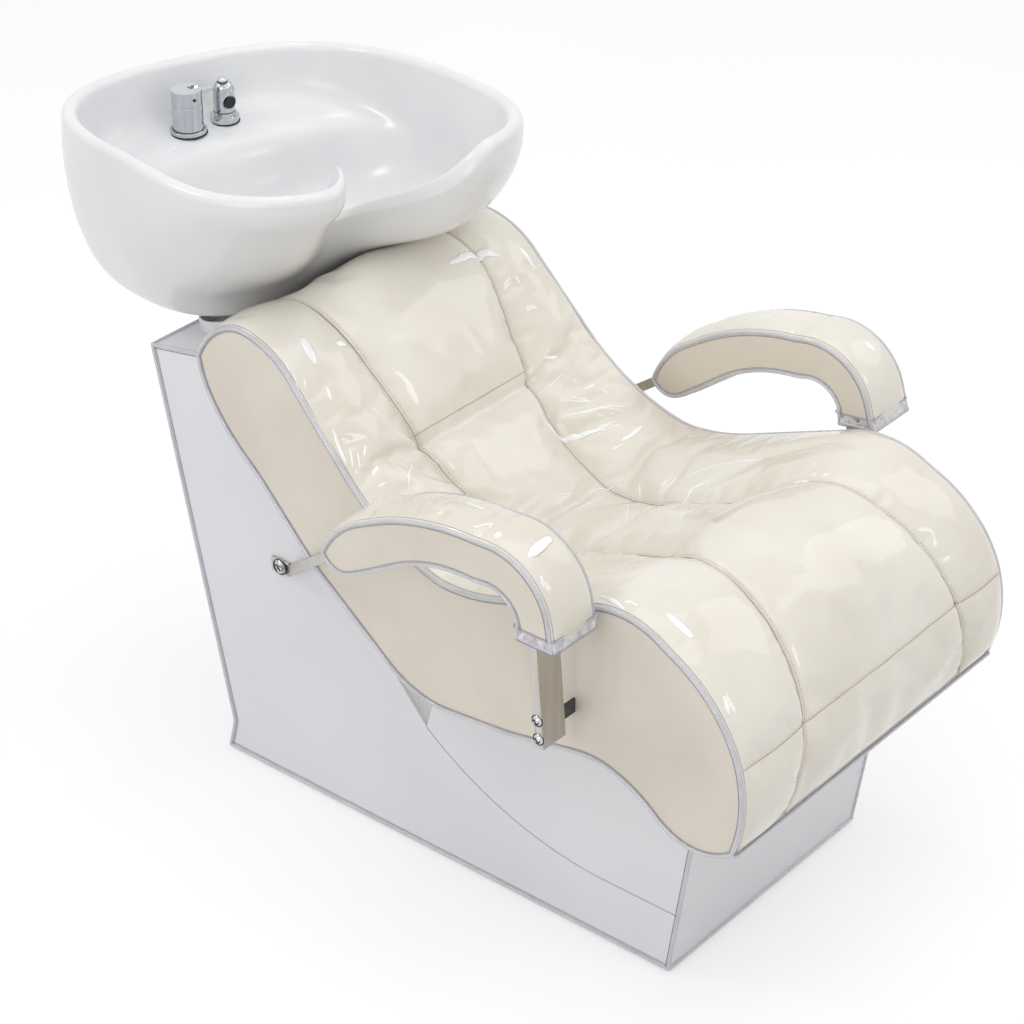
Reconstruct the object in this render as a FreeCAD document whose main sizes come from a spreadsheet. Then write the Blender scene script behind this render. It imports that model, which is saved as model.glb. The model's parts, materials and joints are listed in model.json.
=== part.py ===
import FreeCAD, Part
import math
import os
import re
from types import SimpleNamespace
from FreeCAD import Placement, Rotation, Vector
import Sketcher

# Hair washing bed: an upholstered lounge seat on a panelled base, with a tilting ceramic bowl behind its backrest.
# Millimetres. +Z is up, the foot end points to -Y, the bowl lies towards +Y, and the origin is on the floor
# under the middle of the base.

SIZES = [
    # base
    ("base_width", 450, "outside width of the base"),
    ("base_length", 834, "length of the base on the floor"),
    ("panel_thickness", 18, "side, front and bottom boards"),
    ("glide_height", 5, "floor glides lift the panels"),
    ("glide_radius", 18, "floor glides"),
    ("glide_inset", 45, "glide centre from the ends of the base"),
    ("plinth_height", 55, "top of the kick step at the rear"),
    ("plinth_step", 12, "depth of the kick step at the rear"),
    ("rear_lean", 127, "run of the rear edge from the kick step to the deck"),
    ("deck_rear_height", 661, "rear edge of the deck"),
    ("deck_slope", 10.2, "fall of the deck to the rear, degrees"),
    ("deck_length", 112, "deck along its slope"),
    ("front_kick", 7, "front edge forward of the floor length"),
    ("front_rake", 43, "run of the front edge up to the seat"),
    ("front_height", 300, "top of the front panel"),
    ("seam_apex_place", 16, "top end of the curved seam, from the middle"),
    ("seam_apex_height", 217, "top end of the curved seam"),
    ("seam_run", 314, "length of the curved part of the seam"),
    ("seam_low_height", 103, "straight part of the seam"),
    ("seam_radius", 530, "curved part of the seam"),
    ("seam_gap", 0.5, "between the panels along the seam"),
    ("notch_rear_run", 104, "rear side of the notch, along"),
    ("notch_rear_rise", 118, "rear side of the notch, up"),
    ("notch_front_run", 26, "front side of the notch, along"),
    ("notch_front_rise", 92, "front side of the notch, up"),
    ("inside_seat", 110, "panels are drawn this far into the seat, then cut to it"),
    ("seat_gap", 0.4, "between the seat and what carries it"),
    ("rail_depth", 30, "cross rails, along the bed"),
    ("rail_height", 40, "cross rails"),
    ("rail_bolt_spread", 150, "seat bolts from the middle"),
    ("block_size", 35, "corner blocks"),
    ("rear_panel_thickness", 15, "rear panel"),
    ("rear_screw_inset", 30, "rear panel screws from the edges"),
    # seat
    ("seat_length", 1007, "seat outline along the bed"),
    ("seat_height", 775, "top of the backrest roll"),
    ("seat_front", 595, "front of the seat from the middle of the base"),
    ("seat_half_width", 300, "half width at the front of the base"),
    ("seat_taper", 0.0554, "loss of half width for each unit of length"),
    ("seat_edge_round", 10, "sides drawn in at the welts"),
    ("seam_half_spread", 115, "long seams from the middle"),
    ("seam_depth", 5, "long seams sunk into the upholstery"),
    ("waist_dish", 34, "middle lower than the bolsters at the waist"),
    ("panel_crown", 4, "middle panel fuller than its seams"),
    ("headroll_dip", 18, "top of the backrest lower in its middle"),
    ("board_thickness", 15, "bent plywood seat board"),
    ("board_inset", 16, "seat board inside the upholstered side"),
    ("fit_gap", 0.4, "between upholstery and the hard piece in it"),
    ("bolt_radius", 4, "seat bolts"),
    ("bolt_head_radius", 7, "seat bolts"),
    ("bolt_head_height", 5, "seat bolts"),
    ("bolt_clearance", 0.2, "bolt hole around a bolt"),
    # arms
    ("arm_length", 396, "arm pad along the bed"),
    ("arm_rear_place", 38, "rear end of the arm pad from the middle"),
    ("arm_rise", 144, "arm pad from lowest to highest point"),
    ("right_arm_pitch", 7, "right arm pad lower at its rear end than the left, degrees"),
    ("arm_low", 570, "lowest point of the arm pad"),
    ("arm_inner", 317, "inner face of the arm pads from the middle"),
    ("arm_width", 88, "arm pad across"),
    ("arm_edge_round", 5, "arm pad edges drawn in at the welts"),
    ("arm_crown", 3, "arm pad fuller in the middle"),
    ("arm_core_inset", 15, "plywood core inside the pad outline"),
    ("arm_core_thickness", 18, "plywood core across"),
    ("post_width", 47, "front post across the bed"),
    ("post_depth", 14, "front post along the bed"),
    ("post_wall", 2, "front post"),
    ("post_top", 618, "top of the front post inside the pad"),
    ("post_bottom", 405, "foot of the front post"),
    ("post_place", 307, "front post forward of the middle"),
    ("post_outer", 388, "outer face of the post at its top"),
    ("post_lean", 20, "foot of the post leans in"),
    ("post_screw_low", 421, "lower post screw"),
    ("post_screw_pitch", 31, "between the post screws"),
    ("screw_radius", 3, "post and stay screws"),
    ("dome_radius", 8, "dome heads on the posts"),
    ("dome_height", 5, "dome heads on the posts"),
    ("clip_thickness", 4, "bracket between post and seat"),
    ("clip_height", 22, "bracket between post and seat"),
    ("clip_reach", 30, "bracket inside the seat side"),
    ("mount_block_width", 34, "hardwood block in the seat, across"),
    ("mount_block_depth", 56, "hardwood block in the seat, along"),
    ("mount_block_top", 462, "top of the hardwood block"),
    ("stay_height", 18, "rear stay bar"),
    ("stay_thickness", 5, "rear stay bar"),
    ("stay_start", 16, "front end of the stay inside the pad"),
    ("stay_start_height", 590, "middle of the stay in the pad"),
    ("stay_end", 290, "rear end of the stay on the base"),
    ("stay_end_height", 380, "middle of the stay on the base"),
    ("stay_foot_length", 34, "foot of the stay on the base"),
    ("stay_dome_radius", 6, "dome heads on the stays"),
    ("stay_dome_height", 4, "dome heads on the stays"),
    ("stay_screw_pitch", 12, "between the stay screws"),
    # bowl
    ("bowl_centre", 444, "axis of the bowl behind the middle of the base"),
    ("rim_height", 975, "rim over the axis of the bowl"),
    ("rim_half_width", 293, "rim from the axis to the side"),
    ("rim_back", 351, "rim from the axis to the back"),
    ("rim_front", 305, "rim from the axis to the front"),
    ("rim_fall", 0.1, "rim falls to the back, run for run"),
    ("rim_cant", 0.04, "rim falls to the spray side, run for run"),
    ("rim_turn", 15, "turn of the rim against the base, degrees"),
    ("belly_power", 2.3, "fullness of the bowl towards its foot"),
    ("bowl_bottom", 700, "flat foot of the bowl"),
    ("foot_half_width", 173, "foot of the bowl"),
    ("foot_back", 200, "foot of the bowl behind the axis"),
    ("foot_front", 15, "foot of the bowl ahead of the axis"),
    ("neck_front", 133, "neck recess ahead of the axis"),
    ("neck_half_width", 76, "neck recess across, from its middle"),
    ("neck_depth", 129, "neck recess below the rim"),
    ("neck_flat", 34, "half width of the level part of the neck recess"),
    ("neck_mouth", 112, "half width of the neck recess at the rim"),
    ("ceramic_wall", 24, "bowl wall"),
    ("floor_thickness", 25, "bowl floor"),
    ("floor_half_width", 105, "bowl floor"),
    ("floor_half_depth", 62, "bowl floor"),
    ("shelf_height", 850, "rear shelf that carries the fittings"),
    ("shelf_front", 208, "front edge of the rear shelf behind the axis"),
    ("shelf_thickness", 15, "rear shelf over its well"),
    ("well_half_width", 78, "well under the rear shelf"),
    ("well_depth", 84, "well under the rear shelf, along the bed"),
    # bowl hinge
    ("plate_length", 150, "yoke plate across"),
    ("plate_depth", 68, "yoke plate along the bed"),
    ("plate_thickness", 3, "yoke and bracket plates"),
    ("plate_hole", 30, "radius of the hole for the waste"),
    ("bracket_back", 50, "bracket behind the hinge axis"),
    ("pin_height", 14.2, "hinge pins above the deck"),
    ("pin_radius", 5, "hinge pins"),
    ("pin_head_radius", 8, "hinge pins"),
    ("pin_head_length", 2, "hinge pins"),
    ("ear_thickness", 4, "yoke and bracket ears"),
    ("ear_radius", 8.5, "yoke and bracket ears"),
    ("ear_place", 52, "inner face of the bracket ears"),
    ("ear_gap", 0.4, "between the ears"),
    ("bush_radius", 7, "nylon bushes"),
    ("running_gap", 0.05, "between a pin and its bore"),
    ("pad_thickness", 2, "rubber gasket under the bowl"),
    ("plate_screw_radius", 3, "yoke screws"),
    ("plate_screw_spread", 62, "yoke screws from the middle"),
    ("plate_screw_back", 22, "yoke screws along the bed from the middle"),
    ("collar_half_width", 165, "collar round the hinge"),
    ("collar_half_depth", 40, "collar round the hinge"),
    ("collar_height", 20, "collar round the hinge"),
    ("collar_wall", 4, "collar round the hinge"),
    ("waste_hole", 42, "radius of the hole in the deck"),
    # waste
    ("drain_place", 43, "drain behind the axis of the bowl"),
    ("drain_radius", 19, "drain tube outside"),
    ("drain_bore", 16.5, "drain tube inside"),
    ("drain_flange_radius", 34, "drain flange"),
    ("drain_flange_height", 3, "drain flange"),
    ("drain_hole", 21, "hole in the bowl"),
    ("drain_seal", 2, "seal under the flange"),
    ("drain_nut_radius", 24, "drain nut"),
    ("drain_nut_height", 9, "drain nut"),
    ("tail_radius", 18, "tailpiece outside"),
    ("tail_bore", 15.5, "tailpiece inside"),
    ("tailpiece_length", 55, "tailpiece below the bowl"),
    ("strainer_radius", 15.5, "lift-out strainer"),
    ("strainer_height", 14, "lift-out strainer"),
    ("strainer_hole", 2, "holes of the strainer"),
    # fittings
    ("mixer_across", 46, "mixer axis across the bed"),
    ("mixer_back", 713, "mixer axis behind the middle of the base"),
    ("seal_height", 1.5, "seals under the rings"),
    ("mixer_ring_radius", 28, "mixer base ring"),
    ("mixer_ring_height", 6, "mixer base ring"),
    ("mixer_radius", 23.5, "mixer barrel"),
    ("mixer_height", 48, "mixer barrel top above the shelf"),
    ("cap_height", 22, "turning cap of the mixer"),
    ("cap_gap", 0.4, "between the barrel and its cap"),
    ("cartridge_radius", 17, "mixer cartridge"),
    ("cartridge_height", 26, "mixer cartridge"),
    ("spindle_radius", 6, "spindle of the cap"),
    ("spindle_length", 16, "spindle of the cap"),
    ("shank_radius", 15, "threaded shanks"),
    ("shank_hole", 16, "holes in the shelf"),
    ("shank_length", 34, "threaded shanks below the shelf"),
    ("nut_radius", 24, "lock nuts"),
    ("nut_height", 8, "lock nuts"),
    ("lever_pivot", 10, "lever pivot from the cap axis"),
    ("lever_pivot_height", 12, "lever pivot above the barrel"),
    ("lever_root_radius", 5, "root of the lever"),
    ("lever_half_width", 4.5, "lever across"),
    ("lever_reach", 44, "tip of the lever from the cap axis"),
    ("lever_thickness", 5, "lever"),
    ("lever_slot_gap", 1, "slot each side of the lever"),
    ("lever_pin_radius", 1.5, "pin of the lever"),
    ("dot_radius", 2.6, "index dot on the cap"),
    ("dot_height", 1, "index dot stands out"),
    ("holder_across", 112, "spray holder axis across the bed"),
    ("holder_back", 701, "spray holder axis behind the middle of the base"),
    ("holder_ring_radius", 22, "spray holder base ring"),
    ("holder_ring_height", 9, "spray holder base ring"),
    ("holder_radius", 16, "spray holder column"),
    ("holder_height", 18, "spray holder column"),
    ("socket_radius", 11, "socket of the spray"),
    ("stem_radius", 10.4, "stem of the spray"),
    ("stem_length", 34, "stem of the spray in its socket"),
    ("spray_radius", 16.5, "body of the spray"),
    ("spray_height", 34, "body of the spray"),
    ("spray_head_radius", 15, "rounded head of the spray"),
    ("spray_lean", 24, "lean of the spray head, degrees"),
    ("spray_gap", 0.4, "spray above its holder"),
    ("face_radius", 9.5, "black face of the spray"),
    ("face_depth", 4, "black face of the spray"),
    ("overrun", 2, "cuts run past the face"),
]

# Outlines as shares of their overall sizes. None marks a straight run, otherwise the middle one of three is on an arc.
SEAT_SHARES = [
    (1.0, 0.902), (0.976, 0.951), (0.919, 0.997), (0.857, 0.985), (0.797, 0.926), None, (0.7, 0.794),
    (0.616, 0.714), (0.531, 0.674), (0.482, 0.679), (0.422, 0.701), None, (0.263, 0.779), (0.196, 0.794),
    (0.129, 0.764), (0.05, 0.693), (0.01, 0.606), (0.0, 0.529), (0.014, 0.421), (0.074, 0.387),
    (0.139, 0.408), (0.194, 0.452), (0.258, 0.468), (0.323, 0.448), (0.402, 0.423), None, (0.531, 0.399),
    (0.591, 0.41), (0.65, 0.453), None, (0.78, 0.57), None, (0.889, 0.707), (0.958, 0.787), (0.992, 0.855),
    None, (1.0, 0.902),
]
ARM_SHARES = [
    (1.0, 0.153), (0.942, 0.403), (0.803, 0.674), (0.563, 0.931), (0.311, 1.0), (0.101, 0.847), (0.02, 0.486),
    None, (0.0, 0.167), None, (0.152, 0.167), (0.172, 0.458), (0.311, 0.556), (0.487, 0.528), (0.672, 0.326),
    (0.778, 0.153), (0.874, 0.007), (0.949, 0.0), (1.0, 0.153),
]
# Reach of the bowl's two front lobes ahead of its axis: share of the depth below the rim, share of the reach lost.
LEFT_LOBE_SHARES = [(0.0, 0.0), (0.083, 0.0), (0.18, 0.114), (0.3, 0.238), (0.435, 0.362), (0.572, 0.497),
                    (0.71, 0.662), (0.853, 0.883), (1.0, 1.0)]
RIGHT_LOBE_SHARES = [(0.0, 0.0), (0.1, 0.0), (0.2, 0.04), (0.35, 0.13), (0.5, 0.26), (0.6, 0.39), (0.68, 0.54),
                     (0.75, 0.7), (0.85, 0.88), (1.0, 1.0)]
BOWL_DEPTH_SHARES = [0.0, 0.16, 0.32, 0.46, 0.58, 0.7, 0.8, 0.89, 0.96, 1.0]
HEADROLL_SHARES = [(0.0, 0.0), (0.88, 0.0), (0.95, 1.0), (1.1, 1.0)]
FLOOR_SHARES = [0.0, 0.3, 0.55, 0.75, 0.9, 1.0]

doc = FreeCAD.newDocument("HairWashingBed")
sheet = doc.addObject("Spreadsheet::Sheet", "Sizes")
for row, (name, value, note) in enumerate(SIZES, start=1):
    sheet.set(f"A{row}", name)
    sheet.set(f"B{row}", str(value))
    sheet.setAlias(f"B{row}", name)
    sheet.set(f"C{row}", note)
doc.recompute()
names = {name for name, value, note in SIZES}
sz = SimpleNamespace(**{name: float(sheet.get(name)) for name in names})
subParts = {}


# Helpers that bind primitives to the sheet
def formula(text):
    return re.sub(r"[a-z_]+", lambda m: "Sizes." + m.group(0) if m.group(0) in names else m.group(0), text)


def bind(obj, **properties):
    for prop, text in properties.items():
        obj.setExpression(prop, formula(text))
    return obj


def place(obj, x="0", y="0", z="0", axis=None, angle=None):
    if axis is not None:
        obj.Placement = Placement(Vector(), Rotation(axis, 1))
        obj.setExpression("Placement.Rotation.Angle", formula(angle))
    for key, text in zip("xyz", (x, y, z)):
        obj.setExpression("Placement.Base." + key, formula(text))
    return obj


def block(label, length, width, height, x="0", y="0", z="0"):
    box = doc.addObject("Part::Box", label)
    bind(box, Length=length, Width=width, Height=height)
    return place(box, x, y, z)


def rod(label, radius, height, x="0", y="0", z="0", along="z"):
    cylinder = doc.addObject("Part::Cylinder", label)
    bind(cylinder, Radius=radius, Height=height)
    if along == "z":
        return place(cylinder, x, y, z)
    turned = {"x": Rotation(Vector(0, 1, 0), 90), "y": Rotation(Vector(1, 0, 0), -90)}
    cylinder.Placement = Placement(Vector(), turned[along])
    return place(cylinder, x, y, z)


def joined(label, pieces):
    fuse = doc.addObject("Part::MultiFuse", label)
    fuse.Shapes = pieces
    return fuse


def cut(label, base, tools):
    piece = doc.addObject("Part::Cut", label)
    piece.Base = base
    piece.Tool = tools[0] if len(tools) == 1 else joined(label + "_tools", tools)
    return piece


def separate(label, pieces):
    group = doc.addObject("Part::Compound", label)
    group.Links = pieces
    return group


def shaped(label, shape):
    feature = doc.addObject("Part::Feature", label)
    feature.Shape = shape
    return feature


def keep(name, obj):
    obj.Label = name
    subParts[name] = obj
    return obj


def onDeck(obj):
    y = "base_length / 2 - plinth_step + rear_lean - deck_length / 2 * cos(deck_slope)"
    z = "deck_rear_height + deck_length / 2 * sin(deck_slope)"
    return place(obj, "0", y, z, Vector(1, 0, 0), "-deck_slope")


# Outlines in the side plane
def chainEdges(points, x):
    edges = []
    corners = list(points)
    while len(corners) > 1:
        start, middle, end = corners[0], corners[1], corners[2]
        ends = [Vector(x(p), p[0], p[1]) for p in (start, end)]
        if middle is None:
            edges.append(Part.LineSegment(*ends).toShape())
        else:
            edges.append(Part.Arc(ends[0], Vector(x(middle), *middle), ends[1]).toShape())
        corners = corners[2:]
    return edges


def offsetChain(points, distance, closed=True):
    solid = [p for p in points if p is not None]
    loop = solid[:-1] if closed else solid
    moved = {}
    for i, point in enumerate(loop):
        before = loop[i - 1] if closed or i else point
        after = loop[(i + 1) % len(loop)] if closed or i + 1 < len(loop) else point
        run, rise = after[0] - before[0], after[1] - before[1]
        length = math.hypot(run, rise)
        moved[point] = (point[0] + distance * rise / length, point[1] - distance * run / length)
    return [None if p is None else moved[p] for p in points]


def seatOutline():
    return [None if p is None else (p[0] * sz.seat_length - sz.seat_front, p[1] * sz.seat_height) for p in SEAT_SHARES]


def armOutline():
    front = sz.arm_rear_place - sz.arm_length
    return [None if p is None else (front + p[0] * sz.arm_length, sz.arm_low + p[1] * sz.arm_rise) for p in ARM_SHARES]


def seatHalf(y):
    return sz.seat_half_width - sz.seat_taper * (y + sz.base_length / 2)


def between(x, table):
    for (x0, y0), (x1, y1) in zip(table, table[1:]):
        if x <= x1:
            return y0 + (y1 - y0) * max(0.0, x - x0) / (x1 - x0)
    return table[-1][1]


seat = seatOutline()
boardStart = seat.index(min((p for p in seat if p), key=lambda p: p[1])) + 1
lowerChain = seat[boardStart:seat.index(None, len(seat) - 3)]


def lowerHeight(y):
    solid = [p for p in lowerChain if p is not None]
    return between(y, solid)


# what the base is cut to: the seat's side outline with a small gap, across the whole width
spaceWire = Part.Wire(chainEdges(offsetChain(seat, sz.seat_gap), lambda p: -sz.base_width))
seatSpace = Part.Face(spaceWire).extrude(Vector(2 * sz.base_width, 0, 0))


# Base panels: the rear pieces carry the deck, the front pieces sit on them along the curved seam
def sidePanel(front):
    half = sz.base_length / 2
    apex = (sz.seam_apex_place, sz.seam_apex_height)
    low = (sz.seam_apex_place - sz.seam_run, sz.seam_low_height)
    floor = sz.glide_height
    rake = sz.front_rake / (sz.front_height - floor)
    toe = -half - sz.front_kick
    edge = (toe - rake * (sz.seam_low_height - floor), sz.seam_low_height)
    chord = math.hypot(apex[0] - low[0], apex[1] - low[1])
    sag = sz.seam_radius - math.sqrt(sz.seam_radius ** 2 - chord ** 2 / 4)
    middle = ((apex[0] + low[0]) / 2 + sag * (apex[1] - low[1]) / chord,
              (apex[1] + low[1]) / 2 - sag * (apex[0] - low[0]) / chord)
    if front:
        lift = sz.seam_gap
        notch = (apex[0] - sz.notch_front_run, apex[1] + sz.notch_front_rise)
        start = (toe - sz.front_rake, sz.front_height)
        outline = [start, None, (start[0], start[1] + sz.inside_seat)]
        outline += [None, (notch[0], notch[1] + sz.inside_seat), None, notch, None, (apex[0] - lift, apex[1] + lift)]
        outline += [(middle[0], middle[1] + lift), (low[0], low[1] + lift)]
        outline += [None, (edge[0], edge[1] + lift), None, start]
        return outline
    rear = half - sz.plinth_step
    deckTop = rear + sz.rear_lean
    slope = math.tan(math.radians(sz.deck_slope))
    notch = (apex[0] + sz.notch_rear_run, apex[1] + sz.notch_rear_rise)
    shoulder = seat[0][0] - sz.panel_thickness
    outline = [apex, None, notch, None, (notch[0], notch[1] + sz.inside_seat)]
    outline += [None, (shoulder - sz.inside_seat / 2, sz.deck_rear_height)]
    outline += [None, (shoulder, sz.deck_rear_height + (deckTop - shoulder) * slope)]
    outline += [None, (deckTop, sz.deck_rear_height), None, (rear, sz.plinth_height), None, (half, floor)]
    outline += [None, (toe, floor), None, edge, None, low, middle, apex]
    return outline


def plate(outline, inner, thickness):
    wire = Part.Wire(chainEdges(outline, lambda p: inner))
    return Part.Face(wire).extrude(Vector(thickness, 0, 0)).cut(seatSpace)


half = sz.base_width / 2
stayDrill = {}
for side, name in ((-1, "left"), (1, "right")):
    start = -half if side < 0 else half - sz.panel_thickness
    keep("base_side_front_" + name, shaped("front_" + name, plate(sidePanel(True), start, sz.panel_thickness)))
    panel = shaped("rear_board_" + name, plate(sidePanel(False), start, sz.panel_thickness))
    holes = []
    for lower in (True, False):
        offset = "- stay_screw_pitch / 2" if lower else "+ stay_screw_pitch / 2"
        holes.append(rod(f"stay_hole_{name}_{lower}", "screw_radius + bolt_clearance", "base_width / 2",
                         "0" if side > 0 else "-base_width / 2 - overrun", "stay_end",
                         "stay_end_height " + offset, "x"))
    for hole in holes:
        bind(hole, Height="base_width / 2 + overrun")
    keep("base_side_rear_" + name, cut("rear_" + name, panel, holes))

inner = "base_width - 2 * panel_thickness"
left = "-base_width / 2 + panel_thickness"
keep("base_bottom_board", block(
    "bottom_board", inner, "base_length - 2 * panel_thickness - 2 * plinth_step", "panel_thickness", left,
    "-base_length / 2 + panel_thickness", "glide_height"))
frontPanel = block("front_panel", inner, "panel_thickness", "front_height - glide_height")
place(frontPanel, left, "-base_length / 2 - front_kick", "glide_height", Vector(1, 0, 0),
      "atan(front_rake / (front_height - glide_height))")
keep("base_front_panel", frontPanel)
rise = "(deck_rear_height - plinth_height)"
rearBoard = block("rear_board", inner, "rear_panel_thickness",
                  f"({rise} - panel_thickness - 2 * overrun) / cos(atan(rear_lean / {rise}))",
                  y="-rear_panel_thickness")
rearScrewHoles = []
for x in ("rear_screw_inset", inner + " - rear_screw_inset"):
    for z in ("rear_screw_inset", f"{rise} - 2 * rear_screw_inset"):
        rearScrewHoles.append(rod("rear_hole", "screw_radius + bolt_clearance", "rear_panel_thickness + 2 * overrun",
                                  x, "-rear_panel_thickness - overrun", z, "y"))
rearPanel = cut("rear_panel", rearBoard, rearScrewHoles)
lean = f"-atan(rear_lean / {rise})"
rearFoot = "base_length / 2 - plinth_step"
keep("base_rear_panel", place(rearPanel, left, rearFoot, "plinth_height", Vector(1, 0, 0), lean))
rearScrews = []
for x in ("rear_screw_inset", inner + " - rear_screw_inset"):
    for z in ("rear_screw_inset", f"{rise} - 2 * rear_screw_inset"):
        shaft = rod("rear_shaft", "screw_radius", "rear_panel_thickness", x, "-rear_panel_thickness", z, "y")
        head = rod("rear_head", "dome_radius - screw_radius / 2", "screw_radius", x, "0", z, "y")
        rearScrews.append(joined("rear_screw", [shaft, head]))
keep("rear_panel_screws", place(separate("rear_screws", rearScrews), left, rearFoot, "plinth_height",
                                Vector(1, 0, 0), lean))
keep("rear_kick_board", block("kick_board", inner, "rear_panel_thickness", "plinth_height - glide_height", left,
                              "base_length / 2 - plinth_step - rear_panel_thickness", "glide_height"))

glides = []
for x in ("-base_width / 2 + glide_inset", "base_width / 2 - glide_inset"):
    for y in ("-base_length / 2 + glide_inset", "base_length / 2 - glide_inset - plinth_step"):
        glides.append(rod("glide", "glide_radius", "glide_height", x, y))
glides.append(rod("glide", "glide_radius", "glide_height"))
keep("floor_glides", separate("glides", glides))

blocks = []
for x in (left, "base_width / 2 - panel_thickness - block_size"):
    for y in ("-base_length / 2 + 2 * panel_thickness", "base_length / 2 - 2 * glide_inset - block_size"):
        blocks.append(block("corner", "block_size", "block_size", "block_size", x, y,
                            "glide_height + panel_thickness"))
keep("corner_blocks", separate("blocks", blocks))

# Deck behind the backrest, with the hole for the waste and the screws of the hinge yoke
deckBoard = block("deck_board", inner, "deck_length", "panel_thickness", left, "-deck_length / 2",
                  "-panel_thickness")
deckTools = [rod("waste_opening", "waste_hole", "panel_thickness + 2 * overrun", z="-panel_thickness - overrun")]
yokeTools = [rod("yoke_opening", "plate_hole", "plate_thickness + 2 * overrun", z="-overrun")]
yokeScrews = []
for x in ("-plate_screw_spread", "plate_screw_spread"):
    for y in ("-plate_screw_back", "plate_screw_back"):
        deckTools.append(rod("deck_hole", "plate_screw_radius + bolt_clearance", "panel_thickness + 2 * overrun",
                             x, y, "-panel_thickness - overrun"))
        yokeTools.append(rod("yoke_hole", "plate_screw_radius + bolt_clearance", "plate_thickness + 2 * overrun",
                             x, y, "-overrun"))
        shaft = rod("yoke_shaft", "plate_screw_radius", "panel_thickness + plate_thickness", x, y,
                    "-panel_thickness")
        head = rod("yoke_head", "2 * plate_screw_radius", "plate_screw_radius", x, y, "plate_thickness")
        yokeScrews.append(joined("yoke_screw", [shaft, head]))
keep("base_deck", onDeck(cut("deck", deckBoard, deckTools)))
keep("yoke_screws", onDeck(separate("yoke_screw_set", yokeScrews)))

# Yoke: a plate with two outer ears, pins through them into the bushes of the bracket
yokePlate = block("yoke_plate", "plate_length", "plate_depth", "plate_thickness", "-plate_length / 2",
                  "-plate_depth / 2")
yokeParts = [yokePlate]
pins = []
earOuter = "(ear_place + ear_thickness + ear_gap)"
for sign, start in (("-", f"-{earOuter} - ear_thickness"), ("", earOuter)):
    yokeParts.append(block("yoke_web", "ear_thickness", "2 * ear_radius", "pin_height", start, "-ear_radius"))
    yokeParts.append(rod("yoke_ear", "ear_radius", "ear_thickness", start, "0", "pin_height", "x"))
    yokeTools.append(rod("pin_hole", "pin_radius + running_gap", "ear_thickness + 2 * overrun",
                         start + " - overrun", "0", "pin_height", "x"))
    inside = f"-{earOuter} - ear_thickness" if sign else "ear_place - overrun"
    shaft = rod("pin_shaft", "pin_radius", "2 * ear_thickness + ear_gap + overrun", inside, "0", "pin_height", "x")
    headStart = f"-{earOuter} - ear_thickness - pin_head_length" if sign else f"{earOuter} + ear_thickness"
    head = rod("pin_head", "pin_head_radius", "pin_head_length", headStart, "0", "pin_height", "x")
    pins.append(joined("pin", [shaft, head]))
keep("tilt_yoke", onDeck(cut("yoke", joined("yoke_body", yokeParts), yokeTools)))
keep("tilt_pins", onDeck(separate("pin_pair", pins)))

# Collar that hides the hinge
collarTools = []
collarParts = []
for wall, bucket, drop, tall in (("0", collarParts, "0", "collar_height"),
                                 ("collar_wall", collarTools, "overrun", "collar_height + 2 * overrun")):
    straight = "collar_half_width - collar_half_depth"
    bucket.append(block("collar_run", f"2 * ({straight})", f"2 * (collar_half_depth - {wall})", tall,
                        f"-({straight})", f"-(collar_half_depth - {wall})", f"-{drop}"))
    for x in (f"-({straight})", straight):
        bucket.append(rod("collar_end", f"collar_half_depth - {wall}", tall, x, "0", f"-{drop}"))
keep("hinge_collar", onDeck(cut("collar", joined("collar_body", collarParts), collarTools)))

deckAngle = math.radians(sz.deck_slope)
deckY = sz.base_length / 2 - sz.plinth_step + sz.rear_lean - sz.deck_length / 2 * math.cos(deckAngle)
deckZ = sz.deck_rear_height + sz.deck_length / 2 * math.sin(deckAngle)
pinY = deckY + sz.pin_height * math.sin(deckAngle)
pinZ = deckZ + sz.pin_height * math.cos(deckAngle)

# Bracket under the bowl: plate, two inner ears with bushes, and the gasket against the ceramic
plateTop = sz.bowl_bottom - sz.pad_thickness
plateLow = plateTop - sz.plate_thickness
wasteY = sz.bowl_centre + sz.drain_place
bracketDepth = sz.plate_depth / 2 + sz.bracket_back
bracket = Part.makeBox(sz.plate_length, bracketDepth, sz.plate_thickness,
                       Vector(-sz.plate_length / 2, pinY - sz.plate_depth / 2, plateLow))
gasket = Part.makeBox(sz.plate_length, bracketDepth, sz.pad_thickness,
                      Vector(-sz.plate_length / 2, pinY - sz.plate_depth / 2, plateTop))
bushes = []
for start in (-sz.ear_place - sz.ear_thickness, sz.ear_place):
    web = Part.makeBox(sz.ear_thickness, 2 * sz.ear_radius, plateLow - pinZ,
                       Vector(start, pinY - sz.ear_radius, pinZ))
    ear = Part.makeCylinder(sz.ear_radius + sz.running_gap, sz.ear_thickness, Vector(start, pinY, pinZ), Vector(1, 0, 0))
    bore = Part.makeCylinder(sz.bush_radius + sz.running_gap, sz.ear_thickness + 2 * sz.overrun,
                             Vector(start - sz.overrun, pinY, pinZ), Vector(1, 0, 0))
    bracket = bracket.fuse(web).fuse(ear).cut(bore)
    sleeve = Part.makeCylinder(sz.bush_radius, sz.ear_thickness, Vector(start, pinY, pinZ), Vector(1, 0, 0))
    hollow = Part.makeCylinder(sz.pin_radius + sz.running_gap, sz.ear_thickness, Vector(start, pinY, pinZ),
                               Vector(1, 0, 0))
    bushes.append(sleeve.cut(hollow))
opening = Part.makeCylinder(sz.plate_hole - sz.ear_thickness, sz.bowl_bottom - plateLow,
                            Vector(0, wasteY, plateLow))
keep("bowl_bracket", shaped("bracket", bracket.cut(opening).removeSplitter()))
keep("bracket_gasket", shaped("bowl_pad", gasket.cut(opening)))
keep("tilt_bushes", shaped("bush_pair", Part.makeCompound(bushes)))


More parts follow.
